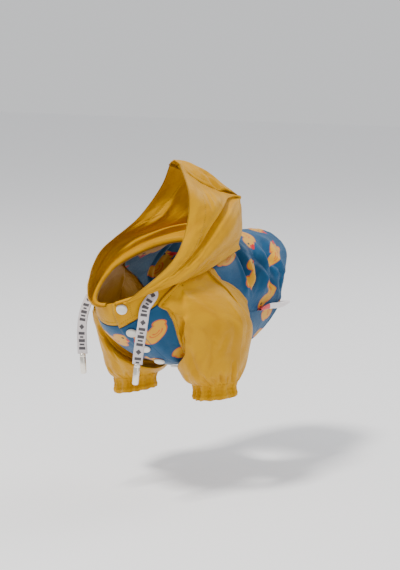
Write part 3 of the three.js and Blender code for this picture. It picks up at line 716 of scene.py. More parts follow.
NONE = -9.0
YELLOW_DYE_AND_SHADE = {"colour": (0.53, 0.26, 0.0, 1), "painted_shade_colour": (0.46, 0.212, 0.0, 1), "rough": 0.46}
BLUE_DYE_AND_SHADE = {"colour": (0.014, 0.070, 0.160, 1), "painted_shade_colour": (0.010, 0.052, 0.125, 1), "rough": 0.5}
YELLOW = cloth_material("yellow coated cloth", **YELLOW_DYE_AND_SHADE)
HOOD_YELLOW = cloth_material("yellow cloth with a casing", **YELLOW_DYE_AND_SHADE, side_rows=(19.5, NONE))
YOKE_YELLOW = cloth_material("yellow cloth with a placket", **YELLOW_DYE_AND_SHADE, side_rows=(2.0, 20.0))
BLUE = cloth_material("printed cloth of the back", **BLUE_DYE_AND_SHADE, end_rows=(8.0, NONE), ducks=True)
FRONT_BLUE = cloth_material(
    "printed cloth with a placket", **BLUE_DYE_AND_SHADE, side_rows=(2.0, 20.0), end_rows=(8.0, NONE), ducks=True)
print("cloth materials:", [look.name for look in (YELLOW, HOOD_YELLOW, YOKE_YELLOW, BLUE, FRONT_BLUE)])

# %% [markdown]
# The back panel is one wide piece from collar to hem, with folds pushed into it on both
# sides. The fronts hang from the yokes and meet at the closure.

# %% Body panels
TUCK = 1.6


def panel_grid(rows, reach_left, reach_right, lift=0.0):
    """A grid on the trunk, from one turn to another in each row of places."""
    turns = mix(reach_left, reach_right, np.linspace(0, 1, rows.shape[1])[None, :])
    return trunk_point(rows, turns, lift), turns


def back_panel_points(cols=150, raglan_rows=80, side_rows=60):
    across = np.linspace(-1, 1, cols)[None, :]
    upper_at = np.linspace(0, ARMPIT, raglan_rows)[:, None] + 0 * across
    upper_turn = across * (back_seam(upper_at[:, :1]) + TUCK)
    side_turn = across * SIDE_SEAM_TURN
    t = np.linspace(0, 1, side_rows)[1:, None]
    side_at = mix(ARMPIT, hem_at(side_turn), t)
    at = np.concatenate([upper_at, side_at])
    turn = np.concatenate([upper_turn, side_turn + 0 * t])
    u = (across + 1) / 2 + 0 * at
    v = at / 1.07
    depth = creases(u, v, BACK_SIZE, BACK_CREASES)
    wave = 0.5 * ripple(u * 260, v * 150, 26, 2.3) * smoothstep(np.abs(turn), 15, 60)
    return trunk_point(at, turn, wave - depth)


BACK_CREASES = [
    (0.770, 0.42, 0.955, 0.570, 2.6, 5.2, 2),
    (0.800, 0.60, 0.940, 0.580, 2.4, 4.4, -2),
    (0.745, 0.64, 0.940, 0.820, 2.8, 5.0, 2),
    (0.740, 0.74, 0.880, 0.900, 2.2, 3.6, -1),
    (0.850, 0.86, 0.970, 0.930, 2.4, 2.6, 1),
    (0.640, 0.55, 0.760, 0.500, 4.0, 1.8, 2),
    (0.245, 0.44, 0.060, 0.580, 2.6, 4.6, -2),
    (0.210, 0.61, 0.070, 0.620, 2.4, 4.0, 2),
    (0.265, 0.66, 0.050, 0.830, 2.8, 4.6, -2),
    (0.250, 0.78, 0.130, 0.920, 2.2, 3.2, 1),
    (0.360, 0.52, 0.250, 0.480, 4.0, 1.6, -2),
    (0.460, 0.34, 0.600, 0.400, 6.0, 1.4, 2),
]


def front_points(side, at, across):
    """Points of a front piece: across is 0 at the side seam and 1 at the closure's edge."""
    edge = CLOSURE["free_edge"] if side > 0 else CLOSURE["under_edge"]
    seam = np.where(at < ARMPIT, front_seam(at) - TUCK, SIDE_SEAM_TURN)
    edge_turn = turn_at_x(at, edge)
    end = edge_turn if side > 0 else 360 - edge_turn
    turn = mix(seam, end, across)
    turn = np.where(turn > 180, turn - 360, turn)
    if side > 0:
        return trunk_point(at, turn, lap_lift(trunk_base(at, turn)[..., 0]))
    return trunk_point(at, -turn)


def yoke_end(across):
    return mix(YOKE_END["side"], YOKE_END["placket"], across ** 0.8)


def yoke_points(side, cols=60, rows=26):
    across = np.linspace(0, 1, cols)[None, :]
    at = np.linspace(0, 1, rows)[:, None] * yoke_end(across)
    return front_points(side, at, across)


def front_panel_points(side, cols=70, upper_rows=70, lower_rows=50):
    across = np.linspace(0, 1, cols)[None, :]
    upper = mix(yoke_end(across), ARMPIT, np.linspace(0, 1, upper_rows)[:, None])
    turn = mix(SIDE_SEAM_TURN, turn_at_x(0.9, CLOSURE["free_edge"]), across)
    lower = mix(ARMPIT, hem_at(turn), np.linspace(0, 1, lower_rows)[1:, None])
    at = np.concatenate([upper, lower])
    return front_points(side, at, across)


TRUNK_MIDDLE = (0, -30, -60)
pieces = {}
pieces["back_panel"] = cloth(
    "back_panel_cloth", back_panel_points(), BLUE, ("foot",), outward=TRUNK_MIDDLE, seed=1.3)
for word, side in (("left", 1), ("right", -1)):
    yoke = ("foot", "right")
    pieces[f"yoke_{word}"] = cloth(
        f"yoke_{word}_cloth", yoke_points(side), YOKE_YELLOW, yoke, outward=TRUNK_MIDDLE, seed=2 + side)
    pieces[f"front_{word}"] = cloth(
        f"front_{word}_cloth", front_panel_points(side), FRONT_BLUE, yoke,
        outward=TRUNK_MIDDLE, seed=4 + side)
print("body panels:", ", ".join(pieces))

# %% [markdown]
# Smooth curves through a few points shape the sleeves and the hood. The spacing of the
# points along each curve follows their distances, so that it doesn't loop or overshoot.

# %% A smooth curve through control points


def smooth_curve(control, t):
    """Points at fractions t along curves. control holds a list of points for each curve."""
    control = np.asarray(control, float)
    first = 2 * control[:, :1] - control[:, 1:2]
    final = 2 * control[:, -1:] - control[:, -2:-1]
    wide = np.concatenate([first, control, final], axis=1)
    spans = control.shape[1] - 1
    result = []
    for value in np.asarray(t, float):
        i = min(int(value * spans), spans - 1)
        w = value * spans - i
        p = [wide[:, i + k] for k in range(4)]
        d = [np.maximum(np.linalg.norm(p[k + 1] - p[k], axis=-1), 1e-4)[:, None] ** 0.5 for k in range(3)]
        start = ((p[1] - p[0]) / d[0] - (p[2] - p[0]) / (d[0] + d[1]) + (p[2] - p[1]) / d[1]) * d[1]
        end = ((p[2] - p[1]) / d[1] - (p[3] - p[1]) / (d[1] + d[2]) + (p[3] - p[2]) / d[2]) * d[1]
        c2 = -3 * p[1] + 3 * p[2] - 2 * start - end
        c3 = 2 * p[1] - 2 * p[2] + start + end
        result.append(p[1] + start * w + c2 * w * w + c3 * w ** 3)
    return np.array(result)


# %% [markdown]
# A raglan sleeve starts at a closed line: over the neck edge, down the front seam to the
# armpit and up the back seam. From there it fills out and narrows to the cuff, and it is
# pushed clear of the body wherever the two would meet.

# %% Sleeves
SLEEVE = table("x y z across along tilt", [
    (54, -31, -104, 34, 47, 27),
    (52, -27.5, -122, 32, 42.5, 14),
    (51, -26, -136, 29, 35, 5),
    (50.5, -24.5, -144.6, 23.5, 24, 0),
])
RIGHT_DROP = 5
RIGHT_SPLAY = 4
PUFF = {"left": 4, "right": 1.5}
CUFF_TILT = {"left": 3, "right": -4.5}
ENTRY = 5
CUFF = {
    "x": 50.5, "y": -24.5, "top": -144.6, "bottom": -161,
    "radius": 23.6, "waist": 1.8, "gathers": 12, "depth": 1.3,
}
OVERHANG, NEAR_TRUNK, NECK_STAND = 45, 16, 0.6
SEAM_TURN, NECK_CLEAR = 0.16, 1.3


def back_clear(at):
    return SEAM_TURN + NECK_CLEAR * (1 - smoothstep(at, 0.05, 0.25))


def sleeve_lift(at, turn):
    """How far a sleeve stands off the trunk."""
    most = LAP + NECK_STAND * (1 - smoothstep(at, 0.2, 0.35))
    return most * smoothstep(at, 0, 0.035) + np.maximum(fold_height(at, turn), 0)


def armhole(side, neck=26, front=84, back=70):
    """The places of the sleeve's seam line, in order round it."""
    share = np.arange(neck) / neck
    neck_turn = mix(62 + back_clear(0), 107 - SEAM_TURN, share)
    front_at = spread(0, ARMPIT, front, 1.35)
    back_at = spread(0, ARMPIT, back, 1.35)[::-1][1:-1]
    at = np.concatenate([0 * share, front_at, back_at])
    turn = np.concatenate([
        neck_turn,
        front_seam(front_at) - SEAM_TURN,
        back_seam(back_at) + back_clear(back_at),
    ])
    around = np.concatenate([
        mix(-14, 20, share),
        along(FRONT_SEAM, "at", "round", front_at),
        along(BACK_SEAM, "at", "round", back_at),
    ])
    return at, side * turn, around


def ring_smooth(values, reach=5):
    """Values round a closed ring, each the mean of its neighbours."""
    total = 0 * values
    for step in range(-reach, reach + 1):
        total = total + np.roll(values, step, axis=0)
    return total / (2 * reach + 1)


def nearest_place(points, at, turn):
    """The trunk places nearest to points, found from places near them."""
    for _ in range(9):
        here = trunk_base(at, turn)
        da = (trunk_base(at + 0.004, turn) - here) / 0.004
        dt = (trunk_base(at, turn + 0.4) - here) / 0.4
        off = points - here
        aa, att, tt = dot(da, da), dot(da, dt), dot(dt, dt)
        scale = aa * tt - att * att
        step_at = (dot(off, da) * tt - dot(off, dt) * att) / scale
        step_turn = (dot(off, dt) * aa - dot(off, da) * att) / scale
        at = np.clip(at + np.clip(step_at, -0.05, 0.05), 0, 1)
        turn = turn + np.clip(step_turn, -6, 6)
    return at, turn


def keep_clear(points, at, turn, side, ease):
    """Sleeve points kept off the trunk, and near the neck on their own side of the back seam."""
    height = dot(points - trunk_base(at, turn), trunk_normal(at, turn))
    least = back_seam(at) + back_clear(at) - OVERHANG * smoothstep(at, 0.12, 0.42)
    held = side * mix(least, np.abs(turn), smoothstep(height, NEAR_TRUNK / 3, NEAR_TRUNK))
    over = (np.abs(turn) < least) & (height < NEAR_TRUNK)
    turn = np.where(over, held, turn)
    base, normal = trunk_base(at, turn), trunk_normal(at, turn)
    points = np.where(over[:, None], base + normal * height[:, None], points)
    lap = lap_lift(base[:, 0]) if side > 0 else 0
    short = np.maximum((sleeve_lift(at, turn) + lap) * ease - height, 0)
    return points + normal * short[:, None]


SLEEVE_CREASES = {
    "left": [
        (0.030, 0.08, 0.120, 0.29, 2.6, 5.0, -1),
        (0.120, 0.29, 0.290, 0.05, 2.8, 6.0, -9),
        (0.075, 0.17, 0.190, 0.14, 3.0, 1.8, 2),
        (0.010, 0.36, 0.060, 0.72, 9.0, 1.4, 3),
        (0.140, 0.42, 0.170, 0.80, 8.0, 1.5, -2),
        (0.250, 0.45, 0.215, 0.86, 4.0, 2.2, 2),
        (0.950, 0.30, 0.985, 0.66, 8.0, 1.2, -3),
        (0.045, 0.74, 0.020, 0.99, 2.4, 3.4, 1),
        (0.075, 0.86, 0.070, 0.99, 1.8, 2.2, 0),
        (0.110, 0.80, 0.100, 0.99, 2.0, 2.8, 1),
        (0.160, 0.84, 0.150, 0.99, 2.0, 2.6, -1),
        (0.205, 0.78, 0.190, 0.99, 2.2, 3.0, 1),
        (0.975, 0.84, 0.975, 0.99, 2.0, 2.4, 0),
        (0.200, 0.24, 0.320, 0.34, 2.6, 2.6, 2),
        (0.110, 0.20, 0.165, 0.10, 2.0, 2.0, 1),
        (0.080, 0.52, 0.125, 0.66, 4.0, 1.2, 1),
        (0.300, 0.70, 0.330, 0.95, 3.5, 2.0, 1),
        (0.560, 0.50, 0.600, 0.92, 5.0, 2.2, 2),
        (0.720, 0.55, 0.740, 0.95, 5.0, 2.0, -2),
        (0.850, 0.70, 0.870, 0.98, 3.5, 2.0, 1),
    ],
    "right": [
        (0.215, 0.26, 0.400, 0.36, 4.0, 8.5, -3),
        (0.370, 0.34, 0.560, 0.46, 4.6, 7.0, -2),
        (0.220, 0.30, 0.300, 0.60, 2.8, 3.0, 2),
        (0.200, 0.38, 0.250, 0.55, 3.0, 2.2, 1),
        (0.275, 0.55, 0.300, 0.85, 6.0, 1.6, 2),
        (0.130, 0.50, 0.160, 0.88, 6.0, 1.6, -2),
        (0.380, 0.62, 0.420, 0.92, 4.0, 2.0, 1),
        (0.060, 0.84, 0.050, 0.99, 2.2, 2.4, 0),
        (0.150, 0.82, 0.155, 0.99, 2.0, 2.6, 0),
        (0.205, 0.78, 0.215, 0.99, 2.2, 3.0, 1),
        (0.265, 0.84, 0.262, 0.99, 2.0, 2.6, 0),
        (0.330, 0.76, 0.310, 0.99, 2.2, 3.2, 0),
        (0.400, 0.82, 0.390, 0.99, 2.2, 2.6, 1),
        (0.240, 0.30, 0.300, 0.42, 2.6, 2.4, 1),
        (0.620, 0.50, 0.640, 0.92, 5.0, 2.0, 2),
        (0.760, 0.40, 0.740, 0.90, 6.0, 1.8, -2),
        (0.900, 0.30, 0.880, 0.75, 7.0, 1.6, 2),
    ],
}


def sleeve_points(side, rows=110):
    at, turn, around = armhole(side)
    normal = trunk_normal(at, turn)
    loop = trunk_base(at, turn) + normal * (0.2 + 0 * at)[:, None]
    inward = unit(np.cross(np.roll(loop, -1, axis=0) - np.roll(loop, 1, axis=0), normal))
    if dot(inward, loop.mean(axis=0) - loop).mean() < 0:
        inward = -inward
    inward = ring_smooth(inward, 4)
    angle = np.radians(around)
    word = "left" if side > 0 else "right"
    drop, splay = (0, 0) if side > 0 else (RIGHT_DROP, RIGHT_SPLAY)
    gathers = [0, 0, 0.02, 0.05]
    sections = []
    for i, gather in enumerate(gathers):
        row = {name: column[i] for name, column in SLEEVE.items()}
        wave = 1 + gather * np.cos(CUFF["gathers"] * angle)
        low = float(smoothstep(-row["z"], -SLEEVE["z"][0], -SLEEVE["z"][-1]))
        x = side * (row["x"] + row["across"] * wave * np.cos(angle) + splay * low)
        y = row["y"] - row["along"] * wave * np.sin(angle)
        z = row["z"] - drop + (row["tilt"] + CUFF_TILT[word] * low) * np.cos(angle)
        sections.append(np.stack([x, y, z], axis=-1))
    rise = ENTRY * 0.3 * smoothstep(at, 0.06, 0.2)[:, None]
    entry = loop + inward * ENTRY + normal * (rise + LAP * smoothstep(at, 0, 0.035)[:, None])
    puff = mix(entry, sections[0], 0.5) + normal * PUFF[word]
    control = np.stack([loop, entry, puff, *sections], axis=1)
    levels = np.linspace(0, 1, rows)
    grid = smooth_curve(control, levels)
    axis = np.array([side * SLEEVE["x"][0], SLEEVE["y"][0]])
    place = (around + 360) % 360 / 360
    for i, level in enumerate(levels):
        points = grid[i]
        inward = np.zeros_like(points)
        inward[:, :2] = unit(axis - points[:, :2])
        settle = smoothstep(level, 0.02, 0.08)
        depth = creases(place, level, SLEEVE_SIZE, SLEEVE_CREASES[word])
        wave = 0.5 * ripple(place * 300, level * 150, 24, 1.1 * side + 3) * smoothstep(level, 0.1, 0.3)
        points = points + inward * (settle * (depth + wave))[:, None]
        at, turn = nearest_place(points, at, turn)
        grid[i] = keep_clear(points, at, turn, side, float(smoothstep(level, 0, 0.07))) if i else points
    return grid


def cuff_points(side, cols=360, rows=34):
    """A cuff gathered on elastic: soft ruffles, uneven in width and depth, with a wavy foot."""
    angle = np.linspace(0, 2 * math.pi, cols, endpoint=False)[None, :]
    level = np.linspace(0, 1, rows)[:, None]
    uneven = 0.8 * np.sin(3 * angle + side) + 0.55 * np.sin(5 * angle + 2)
    count = CUFF["gathers"]
    lean = 0.5 * np.sin(2 * angle + 1.3 * side) * level
    ruck = np.cos(count * angle + uneven + lean)
    small = np.cos((2 * count - 3) * angle + 2 * uneven - 2 * lean + 1)
    size = 0.75 + 0.4 * np.sin(2 * angle + 1.1 + side) * np.sin(3 * angle)
    swell = 0.35 + 0.65 * np.sin(math.pi * (0.12 + 0.76 * level))
    pinch = CUFF["waist"] * np.sin(math.pi * np.clip(level * 1.25, 0, 1))
    bands = 0.12 * np.cos(level * 4 * 2 * math.pi) * np.sin(math.pi * level)
    radius = CUFF["radius"] - CUFF["depth"] * level - pinch + bands
    pleat = ruck - 0.45 * (1 - np.abs(ruck)) ** 2
    radius = radius + CUFF["depth"] * size * swell * (2.1 * pleat + 0.3 * small)
    drop, splay = (0, 0) if side > 0 else (RIGHT_DROP, RIGHT_SPLAY)
    x = side * (CUFF["x"] + splay + radius * np.cos(angle))
    y = CUFF["y"] - radius * np.sin(angle)
    tilt = CUFF_TILT["left" if side > 0 else "right"] * np.cos(angle)
    foot = 0.5 * np.cos(count * angle + uneven + 0.6) * level ** 2
    z = mix(CUFF["top"], CUFF["bottom"], level) + tilt + foot - drop
    return np.stack([x, y, z], axis=-1)


for word, side in (("left", 1), ("right", -1)):
    middle = (side * 52, -30, -110)
    pieces[f"sleeve_{word}"] = cloth(
        f"sleeve_{word}_cloth", sleeve_points(side), YELLOW, ("top",), True, outward=middle, seed=6 + side)
    pieces[f"cuff_{word}"] = cloth(
        f"cuff_{word}_cloth", cuff_points(side), YELLOW, (), True, outward=middle, seed=8 + side)
print("sleeves and cuffs:", [round(cut_area(pieces[k]), 4) for k in ("sleeve_left", "cuff_left")], "m2")

# %% [markdown]
# The hood has two sides and a top gusset. Each side starts on the neck seam, bags over it at
# the back, and rises to the gusset. It leans to the left, so its left side folds flat and its
# right side stands open.

# %% Hood
HOOD_AXIS = (0, -45)
HOOD_FOOT = 0.012
LOW_COLUMNS = "rim_turn back_turn rim_at hang rim_lift back_lift"
LEFT_LOW = table(LOW_COLUMNS, [
    (171, 1, 0.017, 0.0, 1.9, 3.4),
    (168, 22, 0.012, 0.2, 3.1, 4.8),
    (160, 47.4, 0.004, 0.42, 4.2, 8.2),
    (143, 45.8, -0.06, 0.38, 5.6, 13.6),
])
RIGHT_LOW = table(LOW_COLUMNS, [
    (-176, 0, 0.017, 0.0, 1.9, 3.4),
    (-174, 21, 0.012, 0.2, 3.1, 4.8),
    (-166, 46, 0.004, 0.42, 4.1, 8.1),
    (-148, 44, -0.06, 0.38, 5.5, 13.5),
])
LEFT_HIGH = [
    {"rim": (137, 74, -5), "middle": (92, 66, 3), "back": (40, 84, 11)},
    {"rim": (122.6, 59, 25), "middle": (84, 66, 27), "back": (40, 83.5, 30)},
    {"rim": (116, 52, 56), "middle": (76, 60, 47), "back": (40, 82, 43)},
    {"rim": (93, 20, 85), "middle": (60, 43, 62), "back": (39, 82.5, 49)},
]
RIGHT_HIGH = [
    {"rim": (-130, 70, -10), "middle": (-44, 58, 8), "back": (38, 82.5, 11)},
    {"rim": (-66, 54, 25), "middle": (-12, 57, 28), "back": (38, 82, 30)},
    {"rim": (-42, 47, 56), "middle": (2, 57, 52), "back": (38, 80.5, 43)},
    {"rim": (-20, 20, 84), "middle": (22, 44, 70), "back": (37, 81, 49)},
]
HOOD_CREASES = {
    "left": [
        (0.990, 0.96, 0.230, 0.555, 9.5, 4.5, 3.5),
        (0.985, 0.96, 0.250, 0.565, 3.2, 4.6, 3.5),
        (0.300, 0.62, 0.170, 0.500, 2.4, 2.4, 1),
        (0.350, 0.58, 0.230, 0.520, 2.2, 1.8, -1),
        (0.270, 0.66, 0.200, 0.560, 2.0, 1.4, 1),
        (0.800, 0.34, 0.500, 0.300, 7.0, -3.0, 0),
        (0.330, 0.96, 0.350, 0.80, 3.0, 1.2, 1),
        (0.450, 0.95, 0.400, 0.86, 2.6, 1.4, -1),
        (0.700, 0.55, 0.450, 0.47, 7.0, 1.2, 2),
        (0.140, 0.50, 0.060, 0.42, 3.0, 1.2, 1),
    ],
    "right": [
        (0.850, 0.80, 0.500, 0.70, 7.0, 2.4, 3),
        (0.700, 0.60, 0.350, 0.62, 8.0, 2.0, -3),
        (0.900, 0.50, 0.600, 0.46, 6.0, 1.8, 2),
        (0.250, 0.85, 0.300, 0.60, 5.0, 1.4, 2),
        (0.160, 0.55, 0.100, 0.42, 4.0, 1.4, -1),
    ],
}
CASING = {"width": 19.5, "step": 0.45, "cord": 0.7}
ALLOWANCE = {"back": 2.2, "back_in": 1.2, "back_down": 0.5, "top_in": 2.6, "top_down": 1.4}


def hood_low(rows, u):
    """The hood's lower control points, on and over the neck seam."""
    power = 4 if rows["rim_turn"][0] > 0 else 3
    points = []
    for i in range(len(rows["hang"])):
        row = {name: column[i] for name, column in rows.items()}
        turn = mix(row["rim_turn"], row["back_turn"], u)
        at = mix(row["rim_at"], HOOD_FOOT, np.minimum(1, 2 * u)) + row["hang"] * u ** power
        base = trunk_base(at, turn)
        lap = np.where(turn > 90, lap_lift(base[..., 0]), 0)
        lift = mix(row["rim_lift"], row["back_lift"], smoothstep(u, 0, 0.7))
        total = lift + lap + np.maximum(fold_height(at, turn), 0)
        points.append(base + trunk_normal(at, turn) * total[..., None])
    return points


def hood_high(rows, u):
    """The hood's upper control points, round its own upright axis."""
    points = []
    for row in rows:
        a, b, c = (np.array(row[name], float)[:, None] for name in ("rim", "middle", "back"))
        angle, out, z = a * (1 - u) * (1 - 2 * u) + 4 * b * u * (1 - u) + c * u * (2 * u - 1)
        x = HOOD_AXIS[0] + out * np.sin(np.radians(angle))
        y = HOOD_AXIS[1] + out * np.cos(np.radians(angle))
        points.append(np.stack([x, y, z], axis=-1))
    return points


def hood_surface(low, high, u, v):
    control = np.stack(hood_low(low, u) + hood_high(high, u), axis=1)
    return smooth_curve(control, v)


def neck_turning(low, u):
    """Rows that pass from inside the body cloth over its neck edge, where the hood is sewn on."""
    turn = mix(low["rim_turn"][0], low["back_turn"][0], u)
    rows = []
    for at, lift in ((0.030, -1.9), (0.012, -1.8), (-0.004, -1.2), (-0.009, 0.2), (0.001, 1.4)):
        lap = np.where(turn > 90, lap_lift(trunk_base(at, turn)[..., 0]), 0)
        rows.append(trunk_base(at, turn) + trunk_normal(at, turn) * (lift + lap)[..., None])
    return np.array(rows)


def with_allowance(grid):
    """The same grid with a seam allowance at the back, which passes under the other side."""
    edge = grid[:, -1:]
    inward = np.zeros_like(edge)
    inward[..., :2] = unit(np.array(HOOD_AXIS) - edge[..., :2])
    onward = unit(edge - grid[:, -2:-1])
    allowance = edge + onward * ALLOWANCE["back"] + inward * ALLOWANCE["back_in"]
    allowance[..., 2] -= ALLOWANCE["back_down"]
    return np.concatenate([grid, allowance], axis=1)


def hood_side_points(low, high, rows_of_creases, seed, cols=170, rows=170):
    u = spread(0, 1, cols, 1.1)
    v = np.linspace(0, 1, rows)
    points = hood_surface(low, high, u, v)
    to_axis = np.zeros_like(points)
    to_axis[..., :2] = unit(np.array(HOOD_AXIS) - points[..., :2])
    uu, vv = u[None, :] + 0 * v[:, None], v[:, None] + 0 * u[None, :]
    depth = creases(uu, vv, HOOD_SIZE, rows_of_creases)
    wave = 0.5 * ripple(uu * 150, vv * 150, 22, seed) * smoothstep(vv, 0.4, 0.6)
    from_rim, run = arc_lengths(points, 1), arc_lengths(points, 0)
    layer = CASING["step"] * (1 - smoothstep(from_rim, CASING["width"] - 1.2, CASING["width"] + 0.6))
    cord = CASING["cord"] * np.exp(-(((from_rim - 9) / 5) ** 2)) * (1 + 0.5 * ripple(run, 0 * run, 9, seed))
    gather = 0.45 * ripple(run, from_rim * 0.3, 3.4, seed + 2)
    gather = gather * np.exp(-(((from_rim - CASING["width"]) / 5) ** 2))
    free = smoothstep(vv, 0.02, 0.2)
    below_seam = 1 - smoothstep(vv, 0.955, 1)
    before_back = 1 - smoothstep(uu, 0.982, 1)
    relief = (depth + wave - (layer + cord + gather) * free) * below_seam * before_back
    seam_edge = points[-1:] + to_axis[-1:] * ALLOWANCE["top_in"]
    seam_edge[..., 2] -= ALLOWANCE["top_down"]
    points = points + to_axis * relief[..., None]
    return with_allowance(np.concatenate([neck_turning(low, u), points, seam_edge]))


GUSSET = {"cross_seam": 0.7, "crown": 4, "swell": 8, "turning": 1.6}


def gusset_points(cols=60, rows=70):
    s = np.linspace(0, 1, rows)
    w = np.linspace(0, 1, cols)
    left = hood_surface(LEFT_LOW, LEFT_HIGH, GUSSET["cross_seam"] * s, [1])[0]
    right = hood_surface(RIGHT_LOW, RIGHT_HIGH, s, [1])[0]
    points = mix(left[:, None], right[:, None], w[None, :, None])
    seam = hood_surface(LEFT_LOW, LEFT_HIGH, mix(GUSSET["cross_seam"], 1, w), [1])[0]
    straight = mix(seam[0], seam[-1], w[:, None])
    points = points + (seam - straight)[None] * (s ** 4)[:, None, None]
    crown = (GUSSET["crown"] + GUSSET["swell"] * np.sin(math.pi * s))[:, None]
    wave = 0.5 * ripple(90 * w, 60 * s[:, None], 16, 2.2) * np.sin(math.pi * w)
    points[..., 2] += crown * 4 * w * (1 - w) + wave
    depth = creases(w[None, :] + 0 * s[:, None], s[:, None] + 0 * w, GUSSET_SIZE, GUSSET_CREASES)
    points[..., 2] -= depth
    turned = points[-1:] + np.array([0.0, 0.0, -GUSSET["turning"]])
    points = np.concatenate([points, turned])
    first, last = points[:, :1].copy(), points[:, -1:].copy()
    middle = points[:, cols // 2:cols // 2 + 1]
    for edge in (first, last):
        edge += unit(middle - edge) * 1.0
        edge[..., 2] -= GUSSET["turning"]
    return np.concatenate([first, points, last], axis=1)


GUSSET_CREASES = [
    (0.10, 0.98, 0.35, 0.62, 3.0, 2.2, 1),
    (0.45, 0.92, 0.30, 0.50, 3.5, 1.6, -1),
    (0.75, 0.80, 0.55, 0.40, 4.0, 1.6, 2),
]
HOOD_MIDDLE = (10, -35, 20)
left_side = hood_side_points(LEFT_LOW, LEFT_HIGH, HOOD_CREASES["left"], 1.9)
right_side = hood_side_points(RIGHT_LOW, RIGHT_HIGH, HOOD_CREASES["right"], 4.1)
for word, points, seed in (("left", left_side, 11), ("right", right_side, 12)):
    pieces[f"hood_{word}"] = cloth(
        f"hood_{word}_cloth", points, HOOD_YELLOW, ("foot",), outward=HOOD_MIDDLE, seed=seed, casing=True)
pieces["hood_top"] = cloth(
    "hood_top_cloth", gusset_points(), YELLOW, ("left", "right", "foot"), outward=(10, -35, 0), seed=13)
print("hood sides:", [round(cut_area(pieces[k]), 4) for k in ("hood_left", "hood_right", "hood_top")], "m2")

# %% [markdown]
# Each cloth piece takes the place of its plain solid, which is hidden, and hangs from the root.
# The cuffs are gathered on elastic, and the rest is sewn into a form that it drapes on.

for name, piece in pieces.items():
    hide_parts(name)
    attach(piece, "root")

# %% [markdown]
# The front closes with six ring snaps. A cap is a low disc with a bevelled rim and a shallow
# dish. Its outline is drawn once, spun round and copied to each place down the placket. The
# drawstring's metal tips are spun in the same way.

# %% Spun shapes
SNAP = {"count": 6, "first": 0.07, "pitch": 30, "seat": 0.6}
SNAP_OUTLINE = [
    (0, 0), (5.5, 0), (5.6, 0.15), (5.6, 0.8), (5.45, 1.2), (5.1, 1.75), (4.7, 2.1), (4.3, 2.3),
    (3.95, 2.3), (3.65, 2.1), (3.4, 1.85), (2.6, 1.75), (0, 1.75),
]
TIP_OUTLINE = [
    (0, 0), (2.75, 0), (3.0, 0.25), (3.1, 0.8), (2.85, 1.2), (3.1, 1.6), (3.1, 3.0), (2.9, 3.3),
    (3.1, 3.6), (3.15, 12), (3.05, 19.8), (2.8, 20.7), (2.2, 21.25), (1.2, 21.5), (0, 21.5),
]


def spun(name, outline, steps=56):
    """A solid of revolution about +Z from an outline of radius and height in millimetres."""
    mesh = bpy.data.meshes.new(name)
    points = [(r * MM, 0, h * MM) for r, h in outline]
    mesh.from_pydata(points, [(i, i + 1) for i in range(len(points) - 1)], [])
    model = add_object(name, mesh)
    activate(model)
    bpy.ops.object.mode_set(mode="EDIT")
    bpy.ops.mesh.select_all(action="SELECT")
    bpy.ops.mesh.spin(steps=steps, angle=2 * math.pi, center=(0, 0, 0), axis=(0, 0, 1))
    bpy.ops.mesh.select_all(action="SELECT")
    bpy.ops.mesh.remove_doubles(threshold=1e-6)
    bpy.ops.mesh.normals_make_consistent(inside=False)
    bpy.ops.object.mode_set(mode="OBJECT")
    bpy.ops.object.shade_smooth_by_angle(angle=math.radians(40))
    return model


def placed(model, name, point, direction, look):
    """A copy of a spun model, standing on a point in millimetres and facing a direction."""
    mesh = model.data.copy()
    turn = Vector(direction).to_track_quat("Z", "Y").to_matrix().to_4x4()
    turn.translation = Vector(point) * MM
    mesh.transform(turn)
    mesh.materials.clear()
    mesh.materials.append(look)
    return add_object(name, mesh)


snap_model = spun("snap model", SNAP_OUTLINE)
tip_model = spun("tip model", TIP_OUTLINE, 40)
print("models:", len(snap_model.data.polygons), "and", len(tip_model.data.polygons), "faces")

# %% Finishes of the small parts


def plain_material(name, colour, rough, metal=0.0, coat=0.0, grain=0.06):
    """A smooth finish with a faint unevenness in its gloss."""
    look, tree, shader = new_material(name)
    do = partial(calc, tree)
    shader.inputs["Base Color"].default_value = colour + (1,)
    shader.inputs["Metallic"].default_value = metal
    shader.inputs["Coat Weight"].default_value = coat
    place = node(tree, "ShaderNodeTexCoord").outputs["Object"]
    uneven = node(tree, "ShaderNodeTexNoise", {"Vector": place, "Scale": 900.0, "Detail": 2.0}).outputs[0]
    tree.links.new(do("MULTIPLY_ADD", uneven, grain, rough), shader.inputs["Roughness"])
    return look


SNAP_WHITE = plain_material("off-white snap", (0.68, 0.66, 0.60), 0.3, coat=0.25)
TIP_METAL = plain_material("pressed metal tip", (0.80, 0.75, 0.66), 0.2, metal=1.0)
print("finishes:", SNAP_WHITE.name, "and", TIP_METAL.name)

# %% Snaps down the placket


def snap_places():
    """Places down the trunk that are one pitch apart along the line of snaps."""
    line = np.linspace(SNAP["first"], 1, 400)
    x = turn_at_x(line, CLOSURE["snap_line"])
    run = arc_lengths(trunk_base(line, x)[None], 1)[0]
    return np.interp(np.arange(SNAP["count"]) * SNAP["pitch"], run, line)


for i, at in enumerate(snap_places()):
    turn = turn_at_x(at, CLOSURE["snap_line"])
    point = trunk_point(at, turn, LAP + SNAP["seat"])
    snap = placed(snap_model, f"snap_{i + 1}_cap", point, trunk_normal(at, turn), SNAP_WHITE)
    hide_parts(f"snap_{i + 1}")
    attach(snap, "root")
bpy.data.objects.remove(snap_model)
print("snaps at", np.round(snap_places(), 3))

# %% [markdown]
# The drawstring is a flat woven tape. An end hangs free from under the hood's edge on each
# side and finishes in a tip. Plain dark bars and diamonds repeat along it.

# %% The tape's finish

MARKS_REPEAT = 30.0
DIAMOND = {"at": 25.0, "reach": 3.0}


